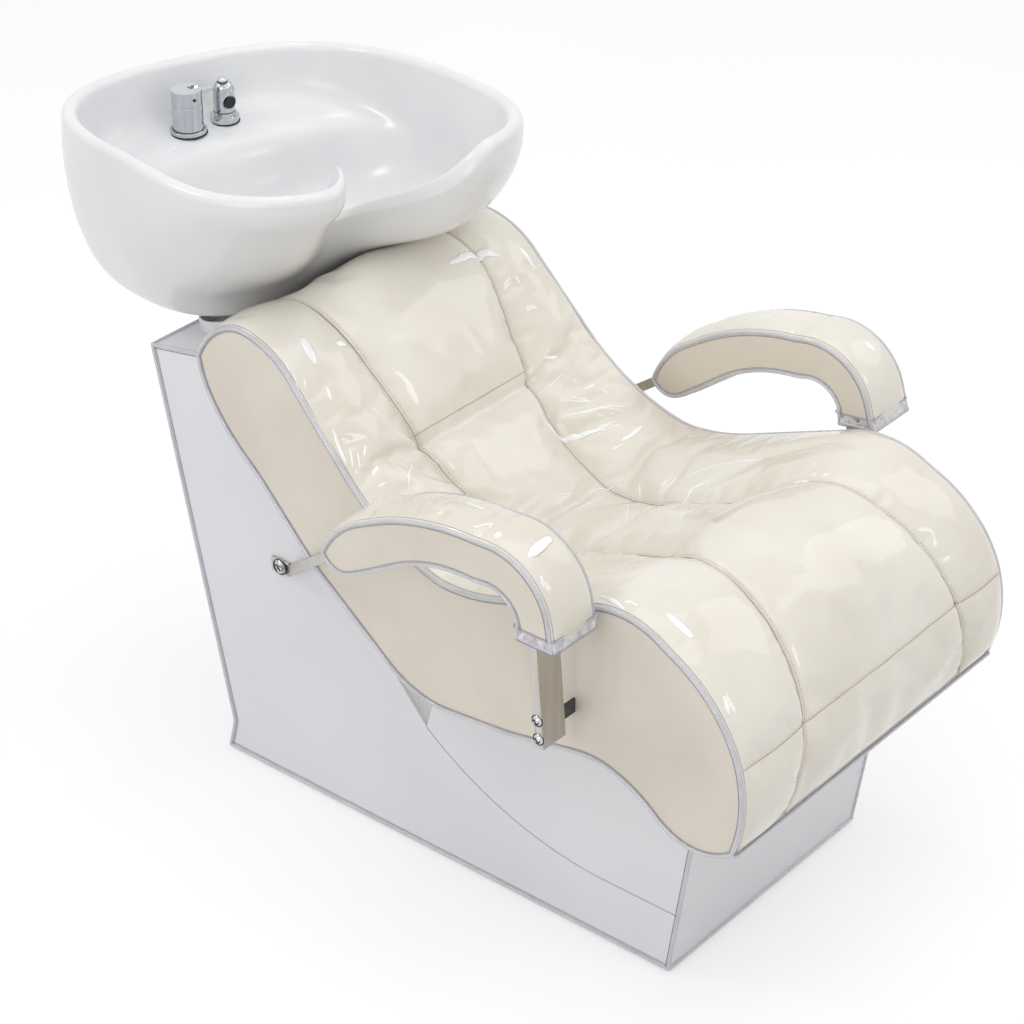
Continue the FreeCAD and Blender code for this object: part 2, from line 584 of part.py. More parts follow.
# Seat: sections across the body on slanted planes, so the sides taper to the rear
def seatSection(share, inset, dish):
    fuller = offsetChain(seat, -inset)
    points = [p if i < boardStart else flat for i, (p, flat) in enumerate(zip(fuller, offsetChain(seat, -max(0.0, inset))))]
    points[-3:] = fuller[-3:]
    lowestTop = min(p[1] for p in seat[:13] if p)
    shaped_points = []
    for index, p in enumerate(points):
        if p is None:
            shaped_points.append(None)
            continue
        nearTop = between(p[1] / sz.seat_height, HEADROLL_SHARES)
        p = (p[0], p[1] - nearTop * sz.headroll_dip * min(1.0, (1 - share ** 2) * 1.6))
        upper = 3 <= index <= 15
        away = (p[1] - lowestTop) / (sz.seat_height - lowestTop)
        drop = dish * sz.waist_dish * max(0.0, 1 - away ** 2 * 1.6) if upper else 0.0
        shaped_points.append((p[0], p[1] - drop))
    return Part.Wire(chainEdges(shaped_points, lambda p: share * seatHalf(p[0])))


seam = sz.seam_half_spread / sz.seat_half_width
groove = sz.seam_depth / sz.seat_half_width
edgeShare = sz.seat_edge_round / sz.seat_half_width
profile = [(1.0, sz.seat_edge_round, 0.0), (1.0 - edgeShare / 2, sz.seat_edge_round / 4, 0.0),
           (1.0 - 1.5 * edgeShare, 0.0, 0.02), (0.7, 0.0, 0.45), (seam + 2 * groove, 0.0, 0.93),
           (seam, sz.seam_depth, 0.97), (seam - 2 * groove, 0.0, 1.0), (0.0, -sz.panel_crown, 1.0)]
sections = [(-share, inset, dish) for share, inset, dish in profile[:-1]] + profile[::-1]
body = Part.makeLoft([seatSection(*section) for section in sections], True, True)


def boardShape(grow, inset):
    lower = [p for p in lowerChain]
    upper = offsetChain(lower, -(sz.board_thickness + grow), closed=False)
    bottom = offsetChain(lower, grow, closed=False) if grow else lower
    wires = []
    for sign in (-1, 1):
        edges = []
        x = lambda p: sign * (seatHalf(p[0]) - inset)
        edges += chainEdges(bottom, x)
        edges += chainEdges([bottom[-1], None, upper[-1]], x)
        edges += chainEdges(upper[::-1], x)
        edges += chainEdges([upper[0], None, bottom[0]], x)
        wires.append(Part.Wire(edges))
    return Part.makeLoft(wires, True, True)


boltRails = []
boltPlaces = []
board = boardShape(0.0, sz.board_inset)
railShares = [0.31, 0.49, 0.72]
for share in railShares:
    middleY = share * sz.seat_length - sz.seat_front
    top = lowerHeight(middleY)
    rail = Part.makeBox(sz.base_width - 2 * sz.panel_thickness, sz.rail_depth, 2 * sz.rail_height,
                        Vector(-half + sz.panel_thickness, middleY - sz.rail_depth / 2, top - sz.rail_height))
    rail = rail.cut(seatSpace)
    boltRails.append(rail)
    boltPlaces.append((middleY, top))
bolts = []
drills = []
for middleY, top in boltPlaces:
    for x in (-sz.rail_bolt_spread, sz.rail_bolt_spread):
        low = top - sz.rail_height
        tall = sz.rail_height + sz.board_thickness / 2
        bolt = Part.makeCylinder(sz.bolt_radius, tall, Vector(x, middleY, low))
        head = Part.makeCylinder(sz.bolt_head_radius, sz.bolt_head_height, Vector(x, middleY, low - sz.bolt_head_height))
        bolts.append(bolt.fuse(head))
        drills.append(Part.makeCylinder(sz.bolt_radius + sz.bolt_clearance, tall + sz.overrun / 2,
                                        Vector(x, middleY, low)))
keep("seat_bolts", shaped("bolt_set", Part.makeCompound(bolts)))
keep("cross_rails", shaped("rail_set", Part.makeCompound([
    rail.cut(drills[2 * i]).cut(drills[2 * i + 1]) for i, rail in enumerate(boltRails)])))
for drill in drills:
    board = board.cut(drill)
keep("seat_board", shaped("board", board))

# Arms: upholstered pad, plywood core, front post with its bracket and block, rear stay
arm = armOutline()


def armLoft(inset, innerX, outerX, rounded):
    width = outerX - innerX
    middle = (innerX + outerX) / 2
    edge = sz.arm_edge_round
    cuts = [(innerX, edge), (innerX + edge, 0.0), (middle, -sz.arm_crown), (outerX - edge, 0.0), (outerX, edge)]
    if not rounded:
        cuts = [(innerX, 0.0), (outerX, 0.0)]
    wires = [Part.Wire(chainEdges(offsetChain(arm, -inset - more), lambda p, x=x: x)) for x, more in cuts]
    return Part.makeLoft(wires, True, True)


def obliquePrism(low, high, halfX, halfY):
    # a straight bar between two level rectangles
    wires = []
    for point in (low, high):
        corners = [Vector(point.x + a * halfX, point.y + b * halfY, point.z)
                   for a, b in ((-1, -1), (1, -1), (1, 1), (-1, 1), (-1, -1))]
        wires.append(Part.makePolygon(corners))
    return Part.makeLoft(wires, True, True)


def mirrored(shape):
    return shape.mirror(Vector(), Vector(1, 0, 0))


def dome(radius, height, centre):
    # dome head whose flat side faces the middle of the bed
    ball = (radius ** 2 + height ** 2) / (2 * height)
    sphere = Part.makeSphere(ball, centre + Vector(ball - height, 0, 0))
    side = Part.makeBox(2 * ball, 4 * ball, 4 * ball, centre + Vector(0, -2 * ball, -2 * ball))
    return sphere.cut(side)


coreMiddle = sz.arm_inner + sz.arm_width / 2
postTop = Vector(-sz.post_outer + sz.post_width / 2, -sz.post_place, sz.post_top)
postLow = Vector(postTop.x + sz.post_lean, -sz.post_place, sz.post_bottom)
post = obliquePrism(postLow, postTop, sz.post_width / 2, sz.post_depth / 2)
postHollow = obliquePrism(postLow, postTop, sz.post_width / 2 - sz.post_wall, sz.post_depth / 2 - sz.post_wall)
postPocket = obliquePrism(postLow, postTop + Vector(0, 0, sz.fit_gap), sz.post_width / 2 + sz.fit_gap,
                          sz.post_depth / 2 + sz.fit_gap)
slope = sz.post_lean / (sz.post_top - sz.post_bottom)
grow = sz.fit_gap


def postFace(z, outer):
    middle = postTop.x + (sz.post_top - z) * slope
    return middle - sz.post_width / 2 if outer else middle + sz.post_width / 2


def barBetween(start, end, extra):
    wires = []
    for point in (start, end):
        corners = [Vector(point.x + a * (sz.stay_thickness / 2 + extra), point.y,
                          point.z + b * (sz.stay_height / 2 + extra))
                   for a, b in ((-1, -1), (1, -1), (1, 1), (-1, 1), (-1, -1))]
        wires.append(Part.makePolygon(corners))
    return Part.makeLoft(wires, True, True)


def armSet(pitch):
    # pad and core pitch about the top of the post; the stay runs from the core to a foot on the base panel
    hinge = Vector(0, postTop.y, postTop.z - sz.arm_core_inset)
    pad = armLoft(0.0, -sz.arm_inner - sz.arm_width, -sz.arm_inner, True)
    core = armLoft(sz.arm_core_inset, -coreMiddle - sz.arm_core_thickness / 2,
                   -coreMiddle + sz.arm_core_thickness / 2, False)
    cavity = armLoft(sz.arm_core_inset - sz.fit_gap, -coreMiddle - sz.arm_core_thickness / 2 - sz.fit_gap,
                     -coreMiddle + sz.arm_core_thickness / 2 + sz.fit_gap, False)
    for shape in (pad, core, cavity):
        shape.rotate(hinge, Vector(1, 0, 0), -pitch)
    run = sz.stay_start - hinge.y
    rise = sz.stay_start_height - hinge.z
    lean = math.radians(-pitch)
    stayIn = Vector(-coreMiddle - sz.arm_core_thickness / 2 - sz.stay_thickness / 2 - sz.fit_gap,
                    hinge.y + run * math.cos(lean) - rise * math.sin(lean),
                    hinge.z + run * math.sin(lean) + rise * math.cos(lean))
    stayOut = Vector(-half - sz.stay_thickness / 2, sz.stay_end - sz.stay_foot_length / 2, sz.stay_end_height)
    stayFoot = Part.makeBox(sz.stay_thickness, sz.stay_foot_length, sz.stay_height + sz.stay_screw_pitch / 2,
                            Vector(-half - sz.stay_thickness, sz.stay_end - sz.stay_foot_length / 2,
                                   sz.stay_end_height - sz.stay_height / 2 - sz.stay_screw_pitch / 4))
    stay = barBetween(stayIn, stayOut, 0.0).fuse(stayFoot)
    for shift in (-0.5, 0.5):
        centre = Vector(-half - sz.stay_thickness, sz.stay_end, sz.stay_end_height + shift * sz.stay_screw_pitch)
        stay = stay.cut(Part.makeCylinder(sz.screw_radius + sz.bolt_clearance, sz.stay_thickness, centre,
                                          Vector(1, 0, 0)))
    direction = stayOut - stayIn
    pocket = barBetween(stayIn - Vector(0, grow, 0), stayIn + direction * (2 * sz.stay_foot_length / direction.y),
                        grow)
    return pad.cut(cavity).cut(postPocket).cut(pocket), core.cut(postPocket).cut(pocket), stay


stayScrews = []
for shift in (-0.5, 0.5):
    centre = Vector(-half - sz.stay_thickness, sz.stay_end, sz.stay_end_height + shift * sz.stay_screw_pitch)
    shaft = Part.makeCylinder(sz.screw_radius, sz.stay_thickness + sz.panel_thickness, centre, Vector(1, 0, 0))
    stayScrews.append(shaft.fuse(dome(sz.stay_dome_radius, sz.stay_dome_height, centre)))

# bracket from the post through the seat side to a hardwood block on the seat board
clipLow = sz.post_screw_low + sz.post_screw_pitch / 2 - sz.clip_height / 2
clipY = -sz.post_place
sideX = -seatHalf(clipY)
blockOuter = sideX + sz.board_inset
clipStart = postFace(clipLow, False)
clip = Part.makeBox(blockOuter - clipStart, sz.clip_thickness, sz.clip_height,
                    Vector(clipStart, clipY - sz.clip_thickness / 2, clipLow))
ramp = Part.makePolygon([Vector(clipStart - sz.overrun, clipY, clipLow - sz.overrun),
                         Vector(clipStart, clipY, clipLow - sz.overrun),
                         Vector(clipStart, clipY, clipLow),
                         Vector(postFace(clipLow + sz.clip_height, False), clipY, clipLow + sz.clip_height),
                         Vector(clipStart - sz.overrun, clipY, clipLow + sz.clip_height),
                         Vector(clipStart - sz.overrun, clipY, clipLow - sz.overrun)])
clipFlange = Part.makeBox(sz.clip_thickness, sz.clip_reach, sz.clip_height,
                          Vector(blockOuter - sz.clip_thickness, clipY - sz.clip_reach / 2, clipLow))
clip = clip.fuse(clipFlange)
postSolid = obliquePrism(postLow, postTop, sz.post_width / 2 + sz.running_gap, sz.post_depth)
clip = clip.cut(postSolid)
clipSlot = Part.makeBox(blockOuter - clipStart, sz.clip_thickness + 2 * grow, sz.clip_height + 2 * grow,
                        Vector(clipStart, clipY - sz.clip_thickness / 2 - grow, clipLow - grow))
clipPocket = Part.makeBox(sz.clip_thickness + grow, sz.clip_reach + 2 * grow, sz.clip_height + 2 * grow,
                          Vector(blockOuter - sz.clip_thickness - grow, clipY - sz.clip_reach / 2 - grow, clipLow - grow))
blockBottom = lowerHeight(clipY + sz.mount_block_depth / 2) + 1.0 * sz.board_thickness


def mountBlock(extra):
    return Part.makeBox(sz.mount_block_width + 2 * extra, sz.mount_block_depth + 2 * extra,
                        sz.mount_block_top - blockBottom + 2 * extra,
                        Vector(blockOuter - extra, clipY - sz.mount_block_depth / 2 - extra, blockBottom - extra))


mount = mountBlock(0.0).cut(boardShape(grow, sz.board_inset / 2))
postScrews = []
for lift in (0.0, sz.post_screw_pitch):
    z = sz.post_screw_low + lift
    centre = Vector(postFace(z, True), -sz.post_place, z)
    reach = sz.post_width + sz.clip_thickness
    shaft = Part.makeCylinder(sz.screw_radius, reach, centre - Vector(sz.overrun / 2, 0, 0), Vector(1, 0, 0))
    head = dome(sz.dome_radius, sz.dome_height, centre)
    head.rotate(centre, Vector(0, 1, 0), -math.degrees(math.atan(slope)))
    postScrews.append(shaft.fuse(head))
    hole = Part.makeCylinder(sz.screw_radius + sz.bolt_clearance, 2 * reach, centre - Vector(reach / 2, 0, 0),
                             Vector(1, 0, 0))
    post = post.cut(hole)
    clip = clip.cut(hole)
post = post.cut(postHollow)

cushion = body.cut(boardShape(grow, sz.board_inset - grow))
for flip in (False, True):
    for tool in (mountBlock(grow), clipSlot, clipPocket):
        cushion = cushion.cut(mirrored(tool) if flip else tool)
keep("seat_cushion", shaped("cushion", cushion))

for name, turn, pitch in (("left", lambda s: s, 0.0), ("right", mirrored, sz.right_arm_pitch)):
    pad, core, stay = armSet(pitch)
    keep("arm_pad_" + name, shaped("pad_" + name, turn(pad)))
    keep("arm_core_" + name, shaped("core_" + name, turn(core)))
    keep("arm_post_" + name, shaped("post_" + name, turn(post)))
    keep("arm_bracket_" + name, shaped("clip_" + name, turn(clip)))
    keep("arm_block_" + name, shaped("mount_" + name, turn(mount)))
    keep("arm_stay_" + name, shaped("stay_" + name, turn(stay)))
both = lambda pieces: Part.makeCompound(pieces + [mirrored(piece) for piece in pieces])
keep("arm_post_screws", shaped("post_screw_set", both(postScrews)))
keep("arm_stay_screws", shaped("stay_screw_set", both(stayScrews)))


# Bowl: sections that shrink like a quarter ellipse from the rim to the foot
def bowlSection(depth, wall=0.0, across=None, back=None, hollow=0.0, z=None, count=36):
    depth = min(1.0, max(0.0, depth))
    round_in = math.sqrt(max(0.0, 1 - depth ** sz.belly_power))
    across = sz.foot_half_width + (sz.rim_half_width - sz.foot_half_width) * round_in if across is None else across
    back = sz.foot_back + (sz.rim_back - sz.foot_back) * round_in if back is None else back
    lobes = [sz.rim_front - (sz.rim_front - sz.foot_front) * between(depth, table) - hollow
             for table in (LEFT_LOBE_SHARES, RIGHT_LOBE_SHARES)]
    neck = sz.neck_front * (1 - depth ** 1.8) + sz.foot_front * depth ** 1.8 - hollow
    z = sz.rim_height - depth * (sz.rim_height - sz.bowl_bottom) if z is None else z
    turn = math.radians(-sz.rim_turn) * round_in
    points = []
    for step in range(count):
        angle = 2 * math.pi * step / count
        c, s = math.cos(angle), math.sin(angle)
        power = 2 / 2.6 if s > 0 else 2 / 2.9
        front = lobes[1] if c > 0 else lobes[0]
        halfDepth = (back + front) / 2 - wall
        centre = (back - front) / 2
        dent = max(0.0, front - neck)
        x = (across - wall) * math.copysign(abs(c) ** power, c)
        y = halfDepth * math.copysign(abs(s) ** power, s)
        if s < 0:
            y += dent * math.exp(-(x / sz.neck_half_width) ** 2) * s * s
        y += centre
        points.append(Vector(x * math.cos(turn) - y * math.sin(turn),
                             sz.bowl_centre + x * math.sin(turn) + y * math.cos(turn), z))
    curve = Part.BSplineCurve()
    curve.interpolate(Points=points, PeriodicFlag=True)
    return Part.Wire(curve.toShape())


rimSpare = 60.0
outer = Part.makeLoft([bowlSection(0.0, z=sz.rim_height + rimSpare), bowlSection(0.0, z=sz.rim_height + rimSpare / 2)]
                      + [bowlSection(depth) for depth in BOWL_DEPTH_SHARES], True, False)
shelfDepth = (sz.rim_height - sz.shelf_height) / (sz.rim_height - sz.bowl_bottom)
upperShares = [0.0, 0.15, 0.3, shelfDepth]
upper = Part.makeLoft([bowlSection(0.0, sz.ceramic_wall, z=sz.rim_height + 1.5 * rimSpare)]
                      + [bowlSection(depth, sz.ceramic_wall) for depth in upperShares], True, False)
floorHeight = sz.bowl_bottom + sz.floor_thickness
lowerWires = []
for share in FLOOR_SHARES:
    z = sz.shelf_height + (1 - share) * sz.overrun - share * (sz.shelf_height - floorHeight)
    depth = (sz.rim_height - z) / (sz.rim_height - sz.bowl_bottom)
    round_in = math.sqrt(max(0.0, 1 - share ** 2))
    shelf_in = math.sqrt(1 - shelfDepth ** sz.belly_power)
    topWidth = sz.foot_half_width + (sz.rim_half_width - sz.foot_half_width) * shelf_in
    across = sz.floor_half_width + (topWidth - sz.ceramic_wall - sz.floor_half_width) * round_in
    back = sz.floor_half_depth * 2 + (sz.shelf_front - sz.floor_half_depth * 2) * round_in
    lowerWires.append(bowlSection(depth, 0.0, across, back, sz.ceramic_wall, z))
lower = Part.makeLoft(lowerWires, True, False)
turned = Placement(Vector(0, sz.bowl_centre, 0), Rotation(Vector(0, 0, 1), -sz.rim_turn))
rimPlane = Placement(Vector(0, sz.bowl_centre, sz.rim_height), Rotation(Vector(0, 0, 1), -sz.rim_turn)
                     * Rotation(Vector(1, 0, 0), -math.degrees(math.atan(sz.rim_fall)))
                     * Rotation(Vector(0, 1, 0), math.degrees(math.atan(sz.rim_cant))))
reach = 2 * sz.rim_back
above = Part.makeBox(2 * reach, 2 * reach, reach, Vector(-reach, -reach, 0))
above.Placement = rimPlane
neckLow = sz.rim_height - sz.neck_depth
neckTop = sz.rim_height + rimSpare
mouth = sz.neck_mouth
flat = sz.neck_flat
sideY = -sz.rim_front - rimSpare


def neckPoint(x, z):
    return Vector(x, sideY, z)


knee = (mouth + flat) / 2
waistZ = neckLow + 0.5 * sz.neck_depth
neckEdges = [
    Part.Arc(neckPoint(-flat, neckLow), neckPoint(-flat - 0.6 * (knee - flat), neckLow + 0.14 * sz.neck_depth),
             neckPoint(-knee, waistZ)).toShape(),
    Part.Arc(neckPoint(-knee, waistZ), neckPoint(-knee - 0.4 * (mouth - knee), neckLow + 0.86 * sz.neck_depth),
             neckPoint(-mouth, sz.rim_height + sz.floor_thickness)).toShape(),
    Part.LineSegment(neckPoint(-mouth, sz.rim_height + sz.floor_thickness), neckPoint(-mouth, neckTop)).toShape(),
    Part.LineSegment(neckPoint(-mouth, neckTop), neckPoint(mouth, neckTop)).toShape(),
    Part.LineSegment(neckPoint(mouth, neckTop), neckPoint(mouth, sz.rim_height + sz.floor_thickness)).toShape(),
    Part.Arc(neckPoint(mouth, sz.rim_height + sz.floor_thickness),
             neckPoint(knee + 0.4 * (mouth - knee), neckLow + 0.86 * sz.neck_depth), neckPoint(knee, waistZ)).toShape(),
    Part.Arc(neckPoint(knee, waistZ), neckPoint(flat + 0.6 * (knee - flat), neckLow + 0.14 * sz.neck_depth),
             neckPoint(flat, neckLow)).toShape(),
    Part.LineSegment(neckPoint(flat, neckLow), neckPoint(-flat, neckLow)).toShape(),
]
neckCut = Part.Face(Part.Wire(neckEdges)).extrude(Vector(0, sz.rim_front + rimSpare - sz.floor_half_depth, 0))
neckCut.Placement = turned
well = Part.makeBox(2 * sz.well_half_width, sz.well_depth, sz.shelf_height - sz.shelf_thickness - sz.bowl_bottom,
                    Vector(-sz.well_half_width, sz.shelf_front + sz.floor_thickness / 2, sz.bowl_bottom))
well.Placement = turned
bowl = outer.cut(above).cut(neckCut).cut(well).cut(upper).cut(lower)
drainHole = Part.makeCylinder(sz.drain_hole, 3 * sz.floor_thickness, Vector(0, wasteY, sz.bowl_bottom - sz.overrun))
bowl = bowl.cut(drainHole)
mixerPlace = Vector(sz.mixer_across, sz.mixer_back, sz.shelf_height)
holderPlace = Vector(sz.holder_across, sz.holder_back, sz.shelf_height)
for spot in (mixerPlace, holderPlace):
    bowl = bowl.cut(Part.makeCylinder(sz.shank_hole, 3 * sz.shelf_thickness, spot - Vector(0, 0, 2 * sz.shelf_thickness)))
keep("bowl", shaped("bowl_shape", bowl))

# Waste: flange, seal, nut, tailpiece and strainer on the drain axis
tube = "tailpiece_length"
wasteAt = ("0", "bowl_centre + drain_place")
floorTop = "bowl_bottom + floor_thickness + drain_seal"
flangeBody = joined("flange_body", [
    rod("flange_disc", "drain_flange_radius", "drain_flange_height", *wasteAt, floorTop),
    rod("flange_tube", "drain_radius", "floor_thickness + drain_seal + drain_nut_height + pad_thickness", *wasteAt,
        "bowl_bottom - drain_nut_height - pad_thickness")])
flangeTools = [rod("flange_bore", "drain_bore", "2 * floor_thickness + drain_nut_height + 2 * overrun", *wasteAt,
                   "bowl_bottom - drain_nut_height - pad_thickness - overrun")]
keep("drain_flange", cut("flange", flangeBody, flangeTools))
keep("drain_seal_ring", cut("drain_ring", rod("seal_disc", "drain_flange_radius - overrun", "drain_seal", *wasteAt,
                                               "bowl_bottom + floor_thickness"),
                            [rod("seal_bore", "drain_radius + bolt_clearance", "drain_seal + 2 * overrun", *wasteAt,
                                 "bowl_bottom + floor_thickness - overrun")]))
keep("drain_nut", cut("nut_ring", rod("nut_disc", "drain_nut_radius", "drain_nut_height", *wasteAt,
                                       "bowl_bottom - drain_nut_height"),
                      [rod("nut_bore", "drain_radius + running_gap", "drain_nut_height + 2 * overrun", *wasteAt,
                           "bowl_bottom - drain_nut_height - overrun")]))
keep("tailpiece", cut("tail", rod("tail_tube", "tail_radius", "tailpiece_length", *wasteAt,
                                   "bowl_bottom - drain_nut_height - pad_thickness - tailpiece_length"),
                      [rod("tail_bore", "tail_bore", "tailpiece_length + 2 * overrun", *wasteAt,
                           "bowl_bottom - drain_nut_height - pad_thickness - tailpiece_length - overrun")]))
strainerTools = []
for ring, count in ((0.35, 6), (0.7, 10)):
    for step in range(count):
        angle = 2 * math.pi * step / count
        spot = Vector(ring * sz.strainer_radius * math.cos(angle),
                      wasteY + ring * sz.strainer_radius * math.sin(angle), sz.bowl_bottom)
        strainerTools.append(Part.makeCylinder(sz.strainer_hole, 3 * sz.floor_thickness, spot))
strainerTop = sz.bowl_bottom + sz.floor_thickness + sz.drain_seal + sz.drain_flange_height
cup = Part.makeCylinder(sz.strainer_radius, sz.strainer_height, Vector(0, wasteY, strainerTop - sz.strainer_height))
cup = cup.cut(Part.makeCylinder(sz.strainer_radius - sz.post_wall, sz.strainer_height,
                                Vector(0, wasteY, strainerTop - sz.strainer_height - sz.post_wall)))
lip = Part.makeCylinder(sz.drain_bore + sz.post_wall, sz.post_wall, Vector(0, wasteY, strainerTop))
knob = Part.makeCylinder(sz.post_wall, sz.strainer_height / 2, Vector(0, wasteY, strainerTop))
cup = cup.fuse(lip)
for tool in strainerTools:
    cup = cup.cut(tool)
keep("strainer", shaped("strainer_cup", cup.fuse(knob).removeSplitter()))

# Mixer on the rear shelf, built about its own axis and turned with the rim
turnText = "-rim_turn"


def onShelf(obj, who):
    return place(obj, who + "_across", who + "_back", "shelf_height", Vector(0, 0, 1), turnText)


def ringOf(label, outerRadius, innerRadius, height, z="0"):
    return cut(label, rod(label + "_disc", outerRadius, height, z=z),
               [rod(label + "_bore", innerRadius, f"{height} + 2 * overrun", z=f"{z} - overrun")])


keep("mixer_seal", onShelf(ringOf("mixer_gasket", "mixer_ring_radius", "shank_radius + bolt_clearance", "seal_height"),
                           "mixer"))
bodyTop = "mixer_height"
mixerParts = [rod("mixer_ring", "mixer_ring_radius", "mixer_ring_height", z="seal_height"),
              rod("mixer_barrel", "mixer_radius", "mixer_height - seal_height", z="seal_height"),
              rod("mixer_shank", "shank_radius", "shank_length + seal_height", z="-shank_length")]
mixerHollow = [rod("cartridge_seat", "cartridge_radius + running_gap", "cartridge_height + overrun",
                   z="mixer_height - cartridge_height"),
               rod("supply_bore", "spindle_radius", "shank_length + mixer_height", z="-shank_length - overrun")]
keep("mixer_barrel", onShelf(cut("mixer_shell", joined("mixer_solid", mixerParts), mixerHollow), "mixer"))
cartridge = cut("cartridge_shape", rod("cartridge_solid", "cartridge_radius", "cartridge_height",
                                        z="mixer_height - cartridge_height"),
                [rod("cartridge_bore", "spindle_radius + running_gap", "spindle_length + overrun",
                     z="mixer_height - spindle_length - cap_gap")])
keep("mixer_cartridge", onShelf(cartridge, "mixer"))
keep("mixer_nut", onShelf(ringOf("mixer_lock", "nut_radius", "shank_radius + running_gap", "nut_height",
                                 "-shelf_thickness - nut_height"), "mixer"))
capLow = "mixer_height + cap_gap"
pivotZ = "mixer_height + lever_pivot_height"
capBody = joined("cap_body", [rod("cap_barrel", "mixer_radius", "cap_height", z=capLow),
                              rod("cap_spindle", "spindle_radius", "spindle_length", z="mixer_height - spindle_length")])
slotHalf = "(lever_half_width + lever_slot_gap)"
capTools = [block("cap_slot", "mixer_radius", f"2 * {slotHalf}", "cap_height", "lever_pivot - lever_root_radius - lever_slot_gap",
                  f"-{slotHalf}", f"{pivotZ} - lever_root_radius - lever_slot_gap"),
            rod("cap_pin_hole", "lever_pin_radius + running_gap", f"4 * {slotHalf}", "lever_pivot", f"-2 * {slotHalf}",
                pivotZ, "y"),
            rod("cap_dot_hole", "dot_radius + running_gap", "mixer_radius", "0", "-mixer_radius - overrun",
                f"{capLow} + cap_height / 2", "y")]
bind(capTools[2], Height="2 * overrun")
keep("mixer_cap", onShelf(cut("cap", capBody, capTools), "mixer"))
keep("mixer_dot", onShelf(separate("dot", [rod("dot_disc", "dot_radius", "overrun + dot_height / 2", "0",
                                                "-mixer_radius - dot_height / 2", f"{capLow} + cap_height / 2", "y")]),
                          "mixer"))
keep("lever_pin", onShelf(separate("pin_of_lever", [rod("lever_pin_rod", "lever_pin_radius", f"4 * {slotHalf} - overrun",
                                                         "lever_pivot", f"-2 * {slotHalf} + overrun / 2", pivotZ, "y")]),
                          "mixer"))
leverBody = joined("lever_body", [
    rod("lever_root", "lever_root_radius", "2 * lever_half_width", "lever_pivot", "-lever_half_width", pivotZ, "y"),
    block("lever_arm", "lever_reach - lever_pivot", "2 * lever_half_width", "lever_thickness", "lever_pivot",
          "-lever_half_width", f"{pivotZ} - lever_thickness / 2 + lever_slot_gap")])
keep("mixer_lever", onShelf(cut("lever", leverBody, [
    rod("lever_bore", "lever_pin_radius + running_gap", "4 * lever_half_width", "lever_pivot", "-2 * lever_half_width",
        pivotZ, "y")]), "mixer"))

# Spray holder and hand spray
keep("holder_seal", onShelf(ringOf("holder_gasket", "holder_ring_radius", "shank_radius + bolt_clearance",
                                   "seal_height"), "holder"))
holderSolid = joined("holder_solid", [
    rod("holder_ring", "holder_ring_radius", "holder_ring_height", z="seal_height"),
    rod("holder_column", "holder_radius", "holder_height - seal_height", z="seal_height"),
    rod("holder_shank", "shank_radius", "shank_length + seal_height", z="-shank_length")])
keep("spray_holder", onShelf(cut("holder", holderSolid, [
    rod("socket", "socket_radius", "shank_length + holder_height + 2 * overrun", z="-shank_length - overrun")]),
    "holder"))
keep("holder_nut", onShelf(ringOf("holder_lock", "nut_radius", "shank_radius + running_gap", "nut_height",
                                  "-shelf_thickness - nut_height"), "holder"))
sprayLow = "holder_height + spray_gap"
sprayHead = doc.addObject("Part::Sphere", "spray_head")
bind(sprayHead, Radius="spray_head_radius")
place(sprayHead, "0", "0", f"{sprayLow} + spray_height")
spraySolid = joined("spray_solid", [
    rod("spray_stem", "stem_radius", "stem_length + spray_gap + overrun", z="holder_height - stem_length"),
    rod("spray_body", "spray_radius", "spray_height", z=sprayLow), sprayHead])
faceZ = f"{sprayLow} + spray_height / 2"
keep("hand_spray", onShelf(cut("spray", spraySolid, [
    rod("face_seat", "face_radius + running_gap", "2 * face_depth", "0", "-spray_radius - face_depth", faceZ, "y")]),
    "holder"))
keep("spray_face", onShelf(separate("face", [rod("face_disc", "face_radius", "face_depth + overrun", "0",
                                                  "-spray_radius - overrun", faceZ, "y")]), "holder"))

doc.recompute()
for obj in doc.Objects:
    if "Invalid" in obj.State or "Error" in obj.State:
        raise RuntimeError(f"{obj.Label} failed: {obj.State}")
for name, obj in subParts.items():
    if obj.Shape.isNull() or not obj.Shape.isValid() or not obj.Shape.Solids:
        raise RuntimeError(f"{name} has no valid solid")
os.makedirs("parts", exist_ok=True)
for name, obj in subParts.items():
    obj.Shape.exportStep(f"parts/{name}.step")
print(len(subParts), "sub-parts")
print("pin", round(pinY, 3), round(pinZ, 3))
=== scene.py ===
import json
import math

import bmesh
import bpy
import numpy as np
from mathutils import Matrix, Vector, noise
from mathutils.bvhtree import BVHTree


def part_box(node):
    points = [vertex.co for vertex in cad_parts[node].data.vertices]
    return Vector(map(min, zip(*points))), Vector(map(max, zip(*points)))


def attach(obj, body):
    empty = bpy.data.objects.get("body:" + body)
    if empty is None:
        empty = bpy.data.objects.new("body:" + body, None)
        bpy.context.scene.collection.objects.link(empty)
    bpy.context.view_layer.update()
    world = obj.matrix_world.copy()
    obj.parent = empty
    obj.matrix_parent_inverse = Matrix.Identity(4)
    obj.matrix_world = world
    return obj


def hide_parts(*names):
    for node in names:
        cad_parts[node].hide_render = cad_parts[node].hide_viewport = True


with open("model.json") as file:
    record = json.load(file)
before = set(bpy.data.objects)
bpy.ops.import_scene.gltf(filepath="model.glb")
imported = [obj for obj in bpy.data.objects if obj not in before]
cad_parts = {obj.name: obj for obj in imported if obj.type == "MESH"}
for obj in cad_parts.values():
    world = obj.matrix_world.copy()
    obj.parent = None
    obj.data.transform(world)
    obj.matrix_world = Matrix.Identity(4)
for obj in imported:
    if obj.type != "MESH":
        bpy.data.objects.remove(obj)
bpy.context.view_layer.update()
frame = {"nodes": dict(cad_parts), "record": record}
nodes = frame["nodes"]
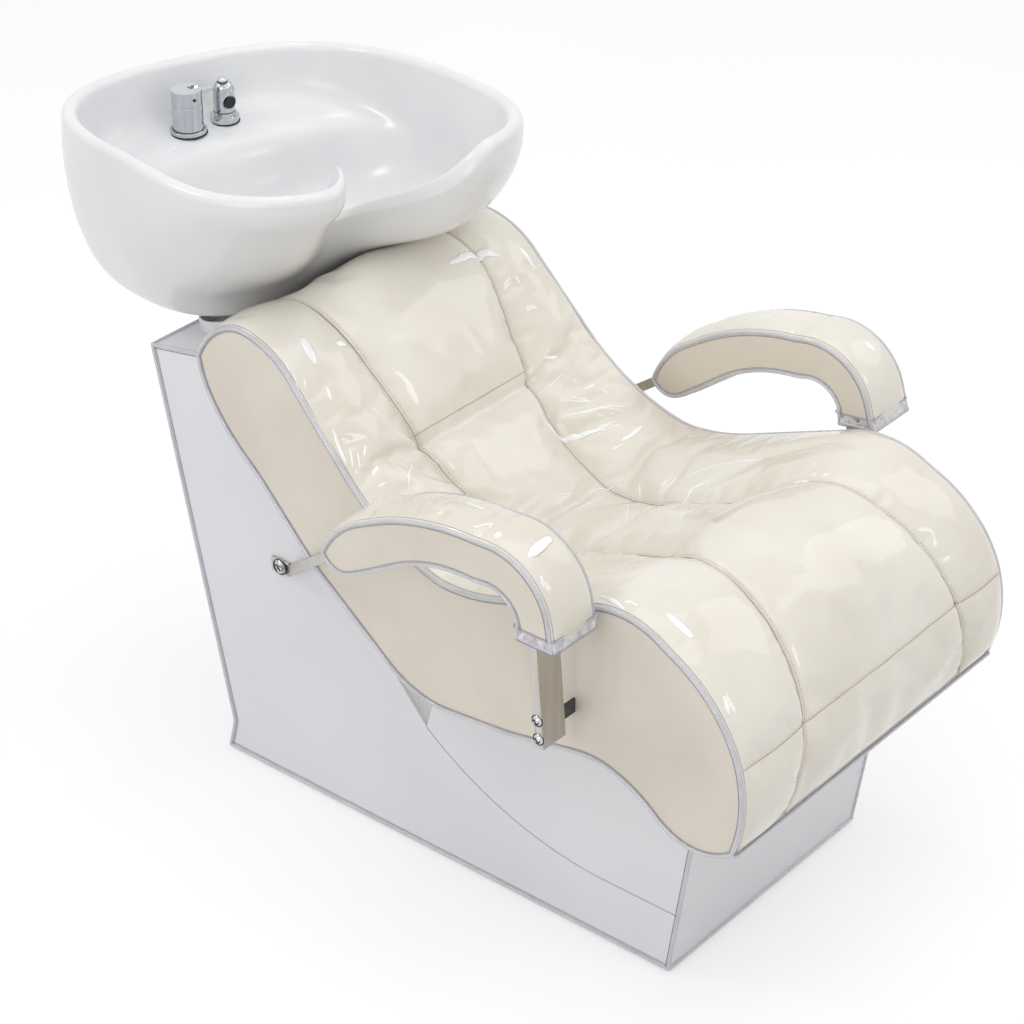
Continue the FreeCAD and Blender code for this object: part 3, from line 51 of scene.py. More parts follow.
slotOf = {part["node"]: part["material_slot"] for part in frame["record"]["subparts"]}
print("frame loaded:", len(nodes), "nodes")


# Small tools for materials
def linear(hexText):
    parts = [int(hexText[i:i + 2], 16) / 255 for i in (1, 3, 5)]
    return tuple(c / 12.92 if c <= 0.04045 else ((c + 0.055) / 1.055) ** 2.4 for c in parts) + (1.0,)


def addNode(tree, kind, settings=None, links=None):
    made = tree.nodes.new(kind)
    for key, value in (settings or {}).items():
        if isinstance(key, int) or key in made.inputs:
            made.inputs[key].default_value = value
        else:
            setattr(made, key, value)
    for key, source in (links or {}).items():
        tree.links.new(source, made.inputs[key])
    return made


def newMaterial(name):
    # a material with an empty tree, and the place on the piece in metres
    material = bpy.data.materials.new(name)
    material.use_nodes = True
    tree = material.node_tree
    tree.nodes.clear()
    return material, tree, addNode(tree, "ShaderNodeTexCoord").outputs["Object"]


def noiseOf(tree, coords, perMetre, detail, **more):
    return addNode(tree, "ShaderNodeTexNoise", {"Scale": perMetre, "Detail": detail, **more},
                   {"Vector": coords}).outputs[0]


def twoTone(tree, coords, low, high, perMetre):
    # slow drift between two close colours
    share = addNode(tree, "ShaderNodeMapRange", {"From Min": 0.35, "From Max": 0.65},
                    {"Value": noiseOf(tree, coords, perMetre, 3.0)})
    return addNode(tree, "ShaderNodeMix", {"data_type": "RGBA", 6: linear(low), 7: linear(high)},
                   {0: share.outputs[0]}).outputs[2]


def reliefOf(tree, coords, perMetre, detail, strength, depth, **more):
    # a bump made from noise, and the noise itself
    height = noiseOf(tree, coords, perMetre, detail, **more)
    bump = addNode(tree, "ShaderNodeBump", {"Strength": strength, "Distance": depth}, {"Height": height})
    return bump.outputs[0], height


def finish(name, tones, patchPerMetre, settings, grain, film=None, stretch=None, speck=None):
    # grain is the relief of the surface itself, film that of the clear coat over it
    material, tree, coords = newMaterial(name)
    if stretch:
        coords = addNode(tree, "ShaderNodeMapping", {"Scale": stretch}, {"Vector": coords}).outputs[0]
    normal, height = reliefOf(tree, coords, **grain)
    links = {"Base Color": twoTone(tree, coords, *tones, patchPerMetre), "Normal": normal}
    if film:
        links["Coat Normal"] = reliefOf(tree, coords, **film)[0]
    if speck:
        low, high = speck
        spread = addNode(tree, "ShaderNodeMapRange", {"To Min": low, "To Max": high}, {"Value": height})
        links["Roughness"] = spread.outputs[0]
    shader = addNode(tree, "ShaderNodeBsdfPrincipled", settings, links)
    addNode(tree, "ShaderNodeOutputMaterial", links={"Surface": shader.outputs[0]})
    return material


# Coated fabric (PVC leather) under a tight clear film: fine embossed grain, broad soft patches, and the
# film's own gloss over soft creases. Its real grain is about 1 mm, drawn at 3 mm so that it shows.
def leatherMaterial(name, tones, filmWeight, creaseStrength):
    return finish(name, tones, 6,
                  {"Coat Weight": filmWeight, "Coat Roughness": 0.05, "Coat IOR": 1.5, "IOR": 1.45},
                  dict(perMetre=330, detail=2.0, strength=0.25, depth=0.0006), speck=(0.40, 0.52),
                  film=dict(perMetre=11, detail=3.0, strength=creaseStrength, depth=0.004,
                            noise_type="RIDGED_MULTIFRACTAL", Distortion=0.6))


# Plain finishes: metals and plastics, each with the fine marks that its making leaves.
def plainMaterial(name, low, high, settings, marksPerMetre, strength, depth, stretch=(1, 1, 1)):
    grain = dict(perMetre=marksPerMetre, detail=2.0, strength=strength, depth=depth)
    return finish(name, (low, high), marksPerMetre / 6, settings, grain, stretch=stretch)


plainFinishes = {
    "timber": ("birchPlywood", "#C9AE84", "#DCC49C", {"Roughness": 0.6}, 240, 0.3, 0.0005, (1, 0.08, 1)),
    "chrome": ("chromePlate", "#C4C7CC", "#CDD0D4", {"Metallic": 1.0, "Roughness": 0.06}, 60, 0.02, 0.0005),
    "silver_steel": ("satinSteel", "#BDB9B3", "#C9C5BF", {"Metallic": 1.0, "Roughness": 0.34},
                     500, 0.08, 0.0003, (1, 1, 0.05)),
    "zinc_steel": ("zincPlate", "#A9ABA8", "#BCBDB8", {"Metallic": 1.0, "Roughness": 0.28}, 300, 0.08, 0.0003),
    "dark_steel": ("blackPowderCoat", "#353538", "#414145", {"Roughness": 0.4}, 700, 0.25, 0.0004),
    "black_plastic": ("blackAbs", "#121214", "#1A1A1D", {"Roughness": 0.22}, 400, 0.05, 0.0003),
    "black_rubber": ("blackRubber", "#161616", "#1E1E1E", {"Roughness": 0.6}, 500, 0.2, 0.0004),
    "grey_plastic": ("greyPolypropylene", "#54555A", "#5E5F63", {"Roughness": 0.45}, 400, 0.1, 0.0004),
    "white_plastic": ("whiteAbs", "#E6E6E8", "#EDEDEE", {"Roughness": 0.25}, 300, 0.05, 0.0003),
    "white_nylon": ("whiteNylon", "#DEDDD6", "#E6E5DF", {"Roughness": 0.4}, 300, 0.1, 0.0004),
}
coverLeather = leatherMaterial("creamLeatherUnderFilm", ("#E3DCCF", "#ECE7DC"), 0.9, 0.55)
# painted shade: the sides take a darker copy of the cover's cream, as faces turned away from the light from
# above; their weaker film gloss is their own
shadedSideLeather = leatherMaterial("creamLeatherSideShaded", ("#DCD3C5", "#E4DCCF"), 0.35, 0.20)
finishes = {slot: plainMaterial(*row) for slot, row in plainFinishes.items()}
finishes["cream_leather"] = coverLeather
# Sanitary stoneware with a fired white glaze: very smooth, with a faint waviness in its reflections.
finishes["white_ceramic"] = finish("firedWhiteGlaze", ("#E5E6E8", "#EBECED"), 5,
                                   {"Roughness": 0.24, "IOR": 1.5, "Coat Weight": 0.15, "Coat Roughness": 0.06},
                                   dict(perMetre=14.0, detail=1.0, strength=0.12, depth=0.003))
# White vinyl wrapped over flat boards, satin, with the clear protective film's faint ripples.
finishes["white_panel"] = finish("whiteVinylPanel", ("#E4E4E9", "#EAEAEE"), 3,
                                 {"Roughness": 0.38, "Coat Weight": 0.35, "Coat Roughness": 0.12},
                                 dict(perMetre=420.0, detail=1.0, strength=0.10, depth=0.0004),
                                 film=dict(perMetre=7.0, detail=2.0, strength=0.25, depth=0.003))
# Clear soft PVC piping: almost white with a lilac cast, between two thin grey lines of painted shade in the
# grooves at its sides.
clearWelt = plainMaterial("clearPvcPiping", "#D9D9E0", "#E6E6EB",
                          {"Roughness": 0.12, "IOR": 1.5, "Transmission Weight": 0.25, "Coat Weight": 0.5},
                          160, 0.2, 0.0006)
threadMaterial = plainMaterial("polyesterThread", "#B4AA98", "#C6BDAC", {"Roughness": 0.7}, 2500, 0.4, 0.0002)
# painted shade: thin grey lines in the grooves beside the piping and along the film's edges, also used for the
# base's seam line
seamShade = plainMaterial("seamJointAndGrooveShade", "#9C9AA8", "#AAA8B5", {"Roughness": 0.5}, 600, 0.2, 0.0003)
seamGap = plainMaterial("sewnSeamGap", "#AEA492", "#BAB09E", {"Roughness": 0.8}, 600, 0.2, 0.0003)
# painted shade: near black for narrow gaps, grooves and screw slots
shadowGap = plainMaterial("shadowedGap", "#232326", "#2E2E32", {"Roughness": 0.5}, 600, 0.2, 0.0003)


# Clear film, coloured with painted light: grey for painted shade in its creases and gathers, white for painted
# glints where they catch the light.
def filmMaterial(name, low, high, roughness, coatRoughness, *marks):
    return plainMaterial(name, low, high,
                         {"Roughness": roughness, "Coat Weight": 1.0, "Coat Roughness": coatRoughness}, *marks)


# painted shade and painted glints: grey and white patches over the film's own milky tone stand for the shade
# and glints of its crumples
gatheredFilm = filmMaterial("gatheredFilmShadeAndGlints", "#BDBBC4", "#F0EFF2", 0.12, 0.04, 420, 0.8, 0.003)
# painted shade: grey for the shade in the recess under the seat, where the film spans it
notchFilm = filmMaterial("stretchedFilmPaintedShade", "#CCCDCB", "#DEDEDC", 0.14, 0.05, 160, 0.5, 0.002)
# painted glints: white lenses for the highlights on the film's creases
paintedGlint = filmMaterial("paintedGlintWhite", "#F6F6F6", "#FFFFFF", 0.10, 0.03, 120, 0.5, 0.002)
for name, obj in nodes.items():
    obj.data.materials.clear()
    obj.data.materials.append(finishes[slotOf[name]])
print("materials ready")


# Mesh tools
def linked(name, data):
    obj = bpy.data.objects.new(name, data)
    bpy.context.scene.collection.objects.link(obj)
    return obj


def meshObject(name, vertices, faces, materials, smooth=True, kinds=None):
    mesh = bpy.data.meshes.new(name)
    mesh.from_pydata([tuple(v) for v in vertices], [], faces)
    if kinds:
        mesh.polygons.foreach_set("material_index", kinds)
    work = bmesh.new()
    work.from_mesh(mesh)
    bmesh.ops.triangulate(work, faces=[f for f in work.faces if len(f.verts) > 8])
    bmesh.ops.recalc_face_normals(work, faces=work.faces)
    work.to_mesh(mesh)
    work.free()
    for material in materials:
        mesh.materials.append(material)
    if smooth:
        mesh.polygons.foreach_set("use_smooth", [True] * len(mesh.polygons))
    return linked(name, mesh)


def finalMesh(obj):
    # the object's mesh with its modifiers applied
    graph = bpy.context.evaluated_depsgraph_get()
    made = bpy.data.meshes.new_from_object(obj.evaluated_get(graph))
    obj.modifiers.clear()
    obj.data = made
    return obj


def subdivided(obj):
    obj.modifiers.new("Smoother", "SUBSURF").levels = 1
    return finalMesh(obj)


def tube(name, paths, radius, material, closed=False):
    # one object of one or more round runs
    curve = bpy.data.curves.new(name, "CURVE")
    curve.dimensions = "3D"
    curve.bevel_depth = radius
    curve.bevel_resolution = 3
    curve.use_fill_caps = not closed
    curve.materials.append(material)
    for path in paths:
        line = curve.splines.new("POLY")
        line.points.add(len(path) - 1)
        for point, place in zip(line.points, path):
            point.co = (*place, 1.0)
        line.use_cyclic_u = closed
        line.use_smooth = True
    return linked(name, curve)


def treeOf(obj):
    return BVHTree.FromPolygons([v.co.copy() for v in obj.data.vertices],
                                [tuple(f.vertices) for f in obj.data.polygons])


def gridFaces(rows, columns, wrapRows=False, wrapColumns=False):
    # four-sided faces over a grid of places that is stored row by row
    down = [(i * columns, (i + 1) % rows * columns) for i in range(rows if wrapRows else rows - 1)]
    across = [(j, (j + 1) % columns) for j in range(columns if wrapColumns else columns - 1)]
    return [(i + j, below + j, below + after, i + after) for i, below in down for j, after in across]


def lengthsAlong(line):
    return np.concatenate([[0], np.cumsum(np.linalg.norm(np.diff(line, axis=0), axis=1))])


def arcThrough(a, b, c, step):
    ax, ay, bx, by, cx, cy = *a, *b, *c
    turn = 2 * (ax * (by - cy) + bx * (cy - ay) + cx * (ay - by))
    if abs(turn) < 1e-9:
        return straightRun(a, c, step)
    sa, sb, sc = ax * ax + ay * ay, bx * bx + by * by, cx * cx + cy * cy
    mx = (sa * (by - cy) + sb * (cy - ay) + sc * (ay - by)) / turn
    my = (sa * (cx - bx) + sb * (ax - cx) + sc * (bx - ax)) / turn
    radius = math.hypot(ax - mx, ay - my)
    start, middle, end = (math.atan2(p[1] - my, p[0] - mx) for p in (a, b, c))
    sweep = (end - start) % (2 * math.pi)
    if (middle - start) % (2 * math.pi) > sweep:
        sweep -= 2 * math.pi
    count = max(2, round(abs(sweep) * radius / step))
    turns = [start + sweep * k / count for k in range(1, count + 1)]
    return [(mx + radius * math.cos(t), my + radius * math.sin(t)) for t in turns]


def straightRun(a, b, step):
    count = max(1, round(math.dist(a, b) / step))
    return [(a[0] + (b[0] - a[0]) * k / count, a[1] + (b[1] - a[1]) * k / count) for k in range(1, count + 1)]


def runChain(chain, step=0.002):
    # arcs through three points; a None between two points is a straight run
    out = [chain[0]]
    index = 0
    while index < len(chain) - 1:
        if chain[index + 1] is None:
            out += straightRun(chain[index], chain[index + 2], step)
        else:
            out += arcThrough(chain[index], chain[index + 1], chain[index + 2], step)
        index += 2
    return np.array(out)


def circleAt(x, y, z, radius, count=64):
    turns = [2 * math.pi * k / count for k in range(count)]
    return [(x + radius * math.cos(t), y + radius * math.sin(t), z) for t in turns]


def resample(line, count):
    run = lengthsAlong(line)
    at = np.linspace(0, run[-1], count + 1)
    return np.stack([np.interp(at, run, line[:, k]) for k in range(line.shape[1])], axis=1)


def relax(line, rounds):
    line = line.copy()
    for _ in range(rounds):
        line[1:-1] = line[1:-1] * 0.5 + (line[:-2] + line[2:]) * 0.25
    return line


def inwardNormals(ring):
    ahead = np.roll(ring, -1, axis=0) - np.roll(ring, 1, axis=0)
    ahead /= np.linalg.norm(ahead, axis=1)[:, None]
    return np.stack([-ahead[:, 1], ahead[:, 0]], axis=1)


def bell(x, width):
    return math.exp(-(x / width) ** 2)


def ramp(x, low, high):
    t = min(1.0, max(0.0, (x - low) / (high - low)))
    return t * t * (3 - 2 * t)


def zipFaces(rows, ring, split):
    # triangles that zip the upper and the lower run of a ring together, for the flat middle of a side
    runs = [list(range(split + 1)), [0] + list(range(len(rows) - 1, split - 1, -1))]
    shares = []
    for run in runs:
        along = lengthsAlong(ring[run])
        shares.append(along / along[-1])
    faces, i, j = [], 0, 0
    while i < len(runs[0]) - 1 or j < len(runs[1]) - 1:
        last = j == len(runs[1]) - 1
        if last or (i < len(runs[0]) - 1 and shares[0][i + 1] <= shares[1][j + 1]):
            face = (runs[0][i], runs[0][i + 1], runs[1][j])
            i += 1
        else:
            face = (runs[0][i], runs[1][j + 1], runs[1][j])
            j += 1
        if len(set(face)) == 3:
            faces.append(tuple(rows[k] for k in face))
    return faces


def roundedEdge(near, edge):
    # how far a rounded edge falls back at a distance from the rim
    return edge - math.sqrt(max(0.0, edge ** 2 - (edge - min(near, edge)) ** 2))


def addSide(vertices, faces, ring, normals, rim, insets, acrossAt, split):
    # the flat side of a padded piece: rings set in from its rim, then triangles over the middle
    count = len(ring)
    for inset, out in insets:
        rows = list(range(len(vertices), len(vertices) + count))
        vertices += [(acrossAt(place[0], out), *place) for place in ring + normals * inset]
        faces += [(rim[i - 1], rim[i], rows[i], rows[i - 1]) for i in [*range(1, count), 0]]
        rim = rows
    faces += zipFaces(rim, ring, split)


# The cover's cloth: pressure from inside against stiff fabric, stopped after a few frames
puffing = {"frames": 20,
           "cloth": {"quality": 5, "mass": 0.3, "vertex_group_mass": "pinned", "use_pressure": True,
                     "uniform_pressure_force": 4.0, "shrink_min": -0.02, "tension_stiffness": 20,
                     "compression_stiffness": 20, "bending_stiffness": 1.5}}


def puff(obj, free, cap):
    # pressure swells the cover between its pinned seams; the movement is capped
    start = np.array([v.co for v in obj.data.vertices])
    group = obj.vertex_groups.new(name="pinned")
    group.add([i for i in range(len(start)) if not free[i]], 1.0, "REPLACE")
    cloth = obj.modifiers.new("Cloth", "CLOTH")
    for key, value in puffing["cloth"].items():
        setattr(cloth.settings, key, value)
    cloth.settings.effector_weights.gravity = 0
    cloth.collision_settings.use_collision = False
    for step in range(1, puffing["frames"] + 1):
        bpy.context.scene.frame_set(step)
    graph = bpy.context.evaluated_depsgraph_get()
    moved = np.array([v.co for v in obj.evaluated_get(graph).data.vertices])
    obj.modifiers.clear()
    bpy.context.scene.frame_set(1)
    shift = moved - start
    far = np.linalg.norm(shift, axis=1)
    shift *= (np.minimum(far, cap) / np.maximum(far, 1e-9))[:, None]
    obj.data.vertices.foreach_set("co", (start + shift).ravel())
    obj.data.update()
    print(obj.name, "swelled by up to", round(float(np.minimum(far, cap).max()) * 1000, 1), "mm")


# Seat: one upholstered body, cover and side panels joined at the piping
seat = {
    "length": 1.007, "height": 0.775, "front": 0.595, "halfWidth": 0.300, "taper": 0.0554, "taperFrom": -0.417,
    "edge": 0.008, "seamDepth": 0.0045, "seamWidth": 0.0035, "crown": 0.004, "bolsterCrown": 0.006,
    "waistDish": 0.034, "rollDip": 0.006, "creaseY": 0.112, "creaseDepth": 0.009,
    "topSteps": 210, "lowSteps": 120, "weltRadius": 0.0031, "topEnd": 18,
    "seamShift": 0.0145,       # the two long seams lie a little to the right of the middle
    "seamSpread": [(0.0, 0.152), (0.17, 0.150), (0.27, 0.126), (0.36, 0.106), (0.5, 0.084), (0.59, 0.086),
                   (0.69, 0.132), (0.76, 0.148), (0.86, 0.172), (0.91, 0.188), (1.0, 0.215)],
    "innerColumns": 9, "outerColumns": 15, "seamColumns": (-0.008, -0.0035, 0.0, 0.0035, 0.008),
    "outerFrom": 0.016, "outerTo": 0.020, "rimColumn": 0.013, "edgeShares": (0.75, 0.4, 0.12),
    "pipingInset": 0.0035, "pipingOut": 0.0002, "frontSteps": 24, "frontEnd": 0.0045,
    "frontLines": ((-0.0022, 0.0035), (0.0020, -0.0030)),
    "lineGap": 0.0048, "lineRadius": 0.0006, "seamLine": 0.0006, "seamLift": 0.0002,
    "seamFrom": 0.09, "seamTo": 0.995, "seamSteps": 260, "crossSteps": 120, "creaseSteps": 60,
    "stitchGap": 0.0034, "stitchPitch": 0.0056, "stitchLength": 0.0040, "stitchWidth": 0.0011,
    "stitchRise": 0.0005, "crossStitchGap": 0.0026,
    "crossSeam": 0.896,        # share of the cover's length, from the head roll's rear to the front edge
    "crossSeamDepth": 0.0028, "crossSeamWidth": 0.0035,
    "dishFrom": (12, 20), "dishTo": (125, 162),    # rows of the cover between which its middle is dished
    "softCreaseDepth": 0.007, "softCreaseWidth": 0.028, "raysDepth": 0.0030, "raysReach": 0.075,
    "lumpSize": 0.0018, "lumpPerMetre": 9, "unevenSize": 0.0007, "unevenPerMetre": 27, "swellCap": 0.010,
    "sideRings": [(0.003, 0.0006), (0.009, 0.0010), (0.016, 0.0010)],      # set in from the edge, set out
    "outline": [
        (1.0, 0.902), (0.976, 0.951), (0.919, 0.997), (0.857, 0.985), (0.797, 0.926), None, (0.7, 0.794),
        (0.616, 0.714), (0.531, 0.674), (0.482, 0.679), (0.422, 0.701), None, (0.263, 0.779), (0.196, 0.794),
        (0.129, 0.764), (0.05, 0.693), (0.01, 0.606), (0.0, 0.529), (0.014, 0.421), (0.074, 0.387),
        (0.139, 0.408), (0.194, 0.452), (0.258, 0.468), (0.323, 0.448), (0.402, 0.423), None, (0.531, 0.399),
        (0.591, 0.41), (0.65, 0.453), None, (0.78, 0.57), None, (0.889, 0.707), (0.958, 0.787), (0.992, 0.855),
        None, (1.0, 0.902)],
}


def seatHalf(y):
    return seat["halfWidth"] - seat["taper"] * (y - seat["taperFrom"])


def seatRing():
    chain = [None if p is None else (p[0] * seat["length"] - seat["front"], p[1] * seat["height"])
             for p in seat["outline"]]
    corner = seat["topEnd"]
    top = relax(resample(runChain(chain[:corner + 1]), seat["topSteps"]), 6)
    low = relax(resample(runChain(chain[corner:]), seat["lowSteps"]), 4)
    return np.concatenate([top[:-1], low[:-1]])


def creaseRow(ring):
    # the row of the cover at the crease under the backrest
    return min(range(seat["topSteps"] // 2), key=lambda i: abs(ring[i][0] - seat["creaseY"]))


def seamPlace(share, side):
    # distance of a long seam from the middle plane, share along the cover
    spread = np.interp(np.linspace(share - 0.03, share + 0.03, 5), *zip(*seat["seamSpread"]))
    return float(spread.mean()) + side * seat["seamShift"]


def seatColumns(half, share):
    # places across the width, closer together at the two seams and at the edge
    across = []
    for side in (-1, 1):
        seam = seamPlace(share, side)
        inner = [seam * k / seat["innerColumns"] for k in range(seat["innerColumns"])]
        inner += [seam + off for off in seat["seamColumns"]]
        first, wide = seam + seat["outerFrom"], half - seat["outerTo"] - seam - seat["outerFrom"]
        outer = [first + wide * k / seat["outerColumns"] for k in range(seat["outerColumns"] + 1)]
        rim = [half - seat["rimColumn"], *(half - seat["edge"] * part for part in seat["edgeShares"]), half]
        across.append(inner + outer + rim)
    return [-x for x in across[0][:0:-1]] + across[1]


def foldDepth(x, s, fold):
    # a soft fold along a line on the cover: a groove, or a ridge where the depth is below zero
    ax, ay, bx, by, width, depth = fold
    dx, dy = bx - ax, by - ay
    t = min(1.0, max(0.0, ((x - ax) * dx + (s - ay) * dy) / (dx * dx + dy * dy)))
    away = math.hypot(x - ax - t * dx, s - ay - t * dy)
    return depth * bell(away, width) * math.sin(math.pi * (0.15 + 0.7 * t))


# Folds of the cover in mm: both ends as across and along, half width and depth; below zero it stands up
seatFolds = [[v / 1000 for v in fold] for fold in (
    (-205, 385, -115, 445, 12, 4.5), (-150, 360, -85, 425, 10, -3.5), (-118, 470, -60, 560, 8, 5),
    (-100, 455, -30, 530, 8, -3.5), (-128, 480, -105, 600, 7, 4), (-215, 450, -205, 560, 9, -3),
    (135, 455, 190, 505, 9, -4), (150, 440, 235, 470, 7, -3), (165, 490, 240, 535, 8, 4),
    (125, 480, 165, 560, 10, 4.5), (90, 650, 35, 760, 9, -3.5), (105, 690, 70, 820, 8, -3.5),
    (110, 720, 195, 790, 10, 7), (195, 790, 245, 930, 10, 7), (150, 790, 185, 900, 11, -4.5),
)]


def buildSeat():
    ring = seatRing()
    normals = inwardNormals(ring)
    topCount, edge = seat["topSteps"], seat["edge"]
    lowestTop = ring[:topCount, 1][ring[:topCount, 0] > -0.2].min()
    run = lengthsAlong(ring)
    creaseAt = creaseRow(ring)
    vertices, free, columns = [], [], len(seatColumns(seat["halfWidth"], 0.5))
    crossAt = seat["crossSeam"] * run[topCount]
    for i, (point, inward) in enumerate(zip(ring, normals)):
        half = seatHalf(point[0])
        onTop = i <= topCount
        along = run[i] - run[creaseAt]
        away = (point[1] - lowestTop) / (seat["height"] - lowestTop)
        dished = 0.0
        if onTop:
            dished = max(0.0, 1 - 1.6 * away ** 2) * ramp(i, *seat["dishFrom"]) * (1 - ramp(i, *seat["dishTo"]))
        rolled = ramp(point[1] / seat["height"], 0.88, 0.95)
        waist = bell(along - 0.05, 0.13) if onTop else 0.0
        length = min(1.0, run[i] / run[topCount])
        for x in seatColumns(half, length):
            share = abs(x) / half
            seam = seamPlace(length, 1 if x > 0 else -1)
            near = half - abs(x)
            inset = roundedEdge(near, edge)
            drop = rolled * seat["rollDip"] * min(1.0, (1 - share ** 2) * 1.6)
            if onTop:
                beyond = abs(x) - seam
                fade = ramp(i, 2, 12) * ramp(topCount - i, 0, 4)
                seamBell = bell(beyond, seat["seamWidth"] + 0.003 * waist)
                inset += (seat["seamDepth"] + 0.006 * waist) * seamBell * fade
                crossBell = bell(run[i] - crossAt, seat["crossSeamWidth"])
                inset += seat["crossSeamDepth"] * crossBell * ramp(near, 0.004, 0.02)
                if beyond < 0:
                    inset -= seat["crown"] * math.cos(math.pi / 2 * x / seam) * fade
                else:
                    v = beyond / (half - seam)
                    inset -= seat["bolsterCrown"] * math.sin(math.pi * min(1.0, v)) ** 0.8 * fade
                across = 1 - ramp(abs(x), seam, seam + 0.03)
                inset += seat["creaseDepth"] * bell(along, 0.0045) * across
                inset += seat["softCreaseDepth"] * bell(along, seat["softCreaseWidth"]) * across
                corner = math.hypot(abs(x) - seam, along)
                angle = math.atan2(along, abs(x) - seam)
                rays = math.cos(5 * angle + 1.3 * math.sin(2 * angle) + (0.9 if x > 0 else 0.0))
                reach = math.exp(-corner / seat["raysReach"]) * (1 - math.exp(-corner / 0.015))
                inset += seat["raysDepth"] * rays * reach
                inset += sum(foldDepth(x, run[i], fold) for fold in seatFolds)
                wide, fine = seat["lumpPerMetre"], seat["unevenPerMetre"]
                lump = noise.noise(Vector((x * wide, point[0] * wide, point[1] * wide)))
                small = noise.noise(Vector((x * fine + 4, point[0] * fine, point[1] * fine)))
                inset += (seat["lumpSize"] * lump + seat["unevenSize"] * small) * ramp(near, 0.01, 0.05)
                dish = 1 - ramp(share, 0.38, 1.0)
                drop += dished * seat["waistDish"] * dish
            place = point + inward * inset
            vertices.append((x, place[0], place[1] - drop))
            free.append(onTop and 4 < i < topCount - 4 and near > 0.012 and abs(abs(x) - seam) > 0.003
                        and abs(run[i] - crossAt) > 0.004 and not (abs(along) < 0.004 and abs(x) < seam))
    count = len(ring)
    faces = gridFaces(count, columns, wrapRows=True)
    topKinds = [0] * (topCount * (columns - 1))
    for side in (-1, 1):
        rim = [i * columns + (0 if side < 0 else columns - 1) for i in range(count)]
        addSide(vertices, faces, ring, normals, rim, [(edge + more, out) for more, out in seat["sideRings"]],
                lambda y, out: side * (seatHalf(y) + out), topCount)
    kinds = topKinds + [1] * (len(faces) - len(topKinds))
    free += [False] * (len(vertices) - len(free))
    body = meshObject("seatUpholstery", vertices, faces, [coverLeather, shadedSideLeather], kinds=kinds)
    puff(body, free, seat["swellCap"])
    subdivided(body)
    print("cover is", round(run[topCount], 3), "m long from the head roll's rear to the front edge")
    return body, ring, normals


seatBody, seatLine, seatInward = buildSeat()
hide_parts("seat_cushion")
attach(seatBody, "bed")


def seatPath(side, inset, out):
    return [(side * (seatHalf(y) + out), y, z) for y, z in seatLine + seatInward * inset]


coverTree = treeOf(seatBody)


def onCover(x, share, above=0.0):
    # the point of the cover at a place across it and a share of its length
    at = share * seat["topSteps"]
    i = min(int(at), seat["topSteps"] - 1)
    point = seatLine[i] + (seatLine[i + 1] - seatLine[i]) * (at - i)
    inward = Vector((0.0, *seatInward[i]))
    hit = coverTree.ray_cast(Vector((x, *point)) - inward * 0.05, inward, 0.2)
    spot = hit[0] if hit[0] is not None else Vector((x, *point))
    normal = hit[1] if hit[0] is not None else -inward
    if normal.dot(inward) > 0:
        normal = -normal
    return spot + normal * above, normal


def stitches(name, lines, pitch, length, width, rise, material):
    # small raised stitches laid along lines of places and normals
    vertices, faces = [], []
    for line in lines:
        run = np.concatenate([[0], np.cumsum([(b[0] - a[0]).length for a, b in zip(line, line[1:])])])
        for start in np.arange(pitch, run[-1] - pitch, pitch):
            ends = []
            for at in (start, start + length):
                k = min(int(np.searchsorted(run, at)), len(line) - 1)
                t = (at - run[k - 1]) / max(run[k] - run[k - 1], 1e-9)
                ends.append(line[k - 1][0].lerp(line[k][0], t))
            normal = line[k][1]
            ahead = (ends[1] - ends[0]).normalized()
            across = ahead.cross(normal).normalized() * width / 2
            middle = (ends[0] + ends[1]) / 2
            first = len(vertices)
            vertices += [ends[0], ends[1], middle + across, middle - across, middle + normal * rise,
                         middle - normal * rise]
            faces += [(first + a, first + b, first + c) for a, b, c in
                      ((0, 2, 4), (2, 1, 4), (1, 3, 4), (3, 0, 4), (2, 0, 5), (1, 2, 5), (3, 1, 5), (0, 3, 5))]
    return meshObject(name, vertices, faces, [material], smooth=False)


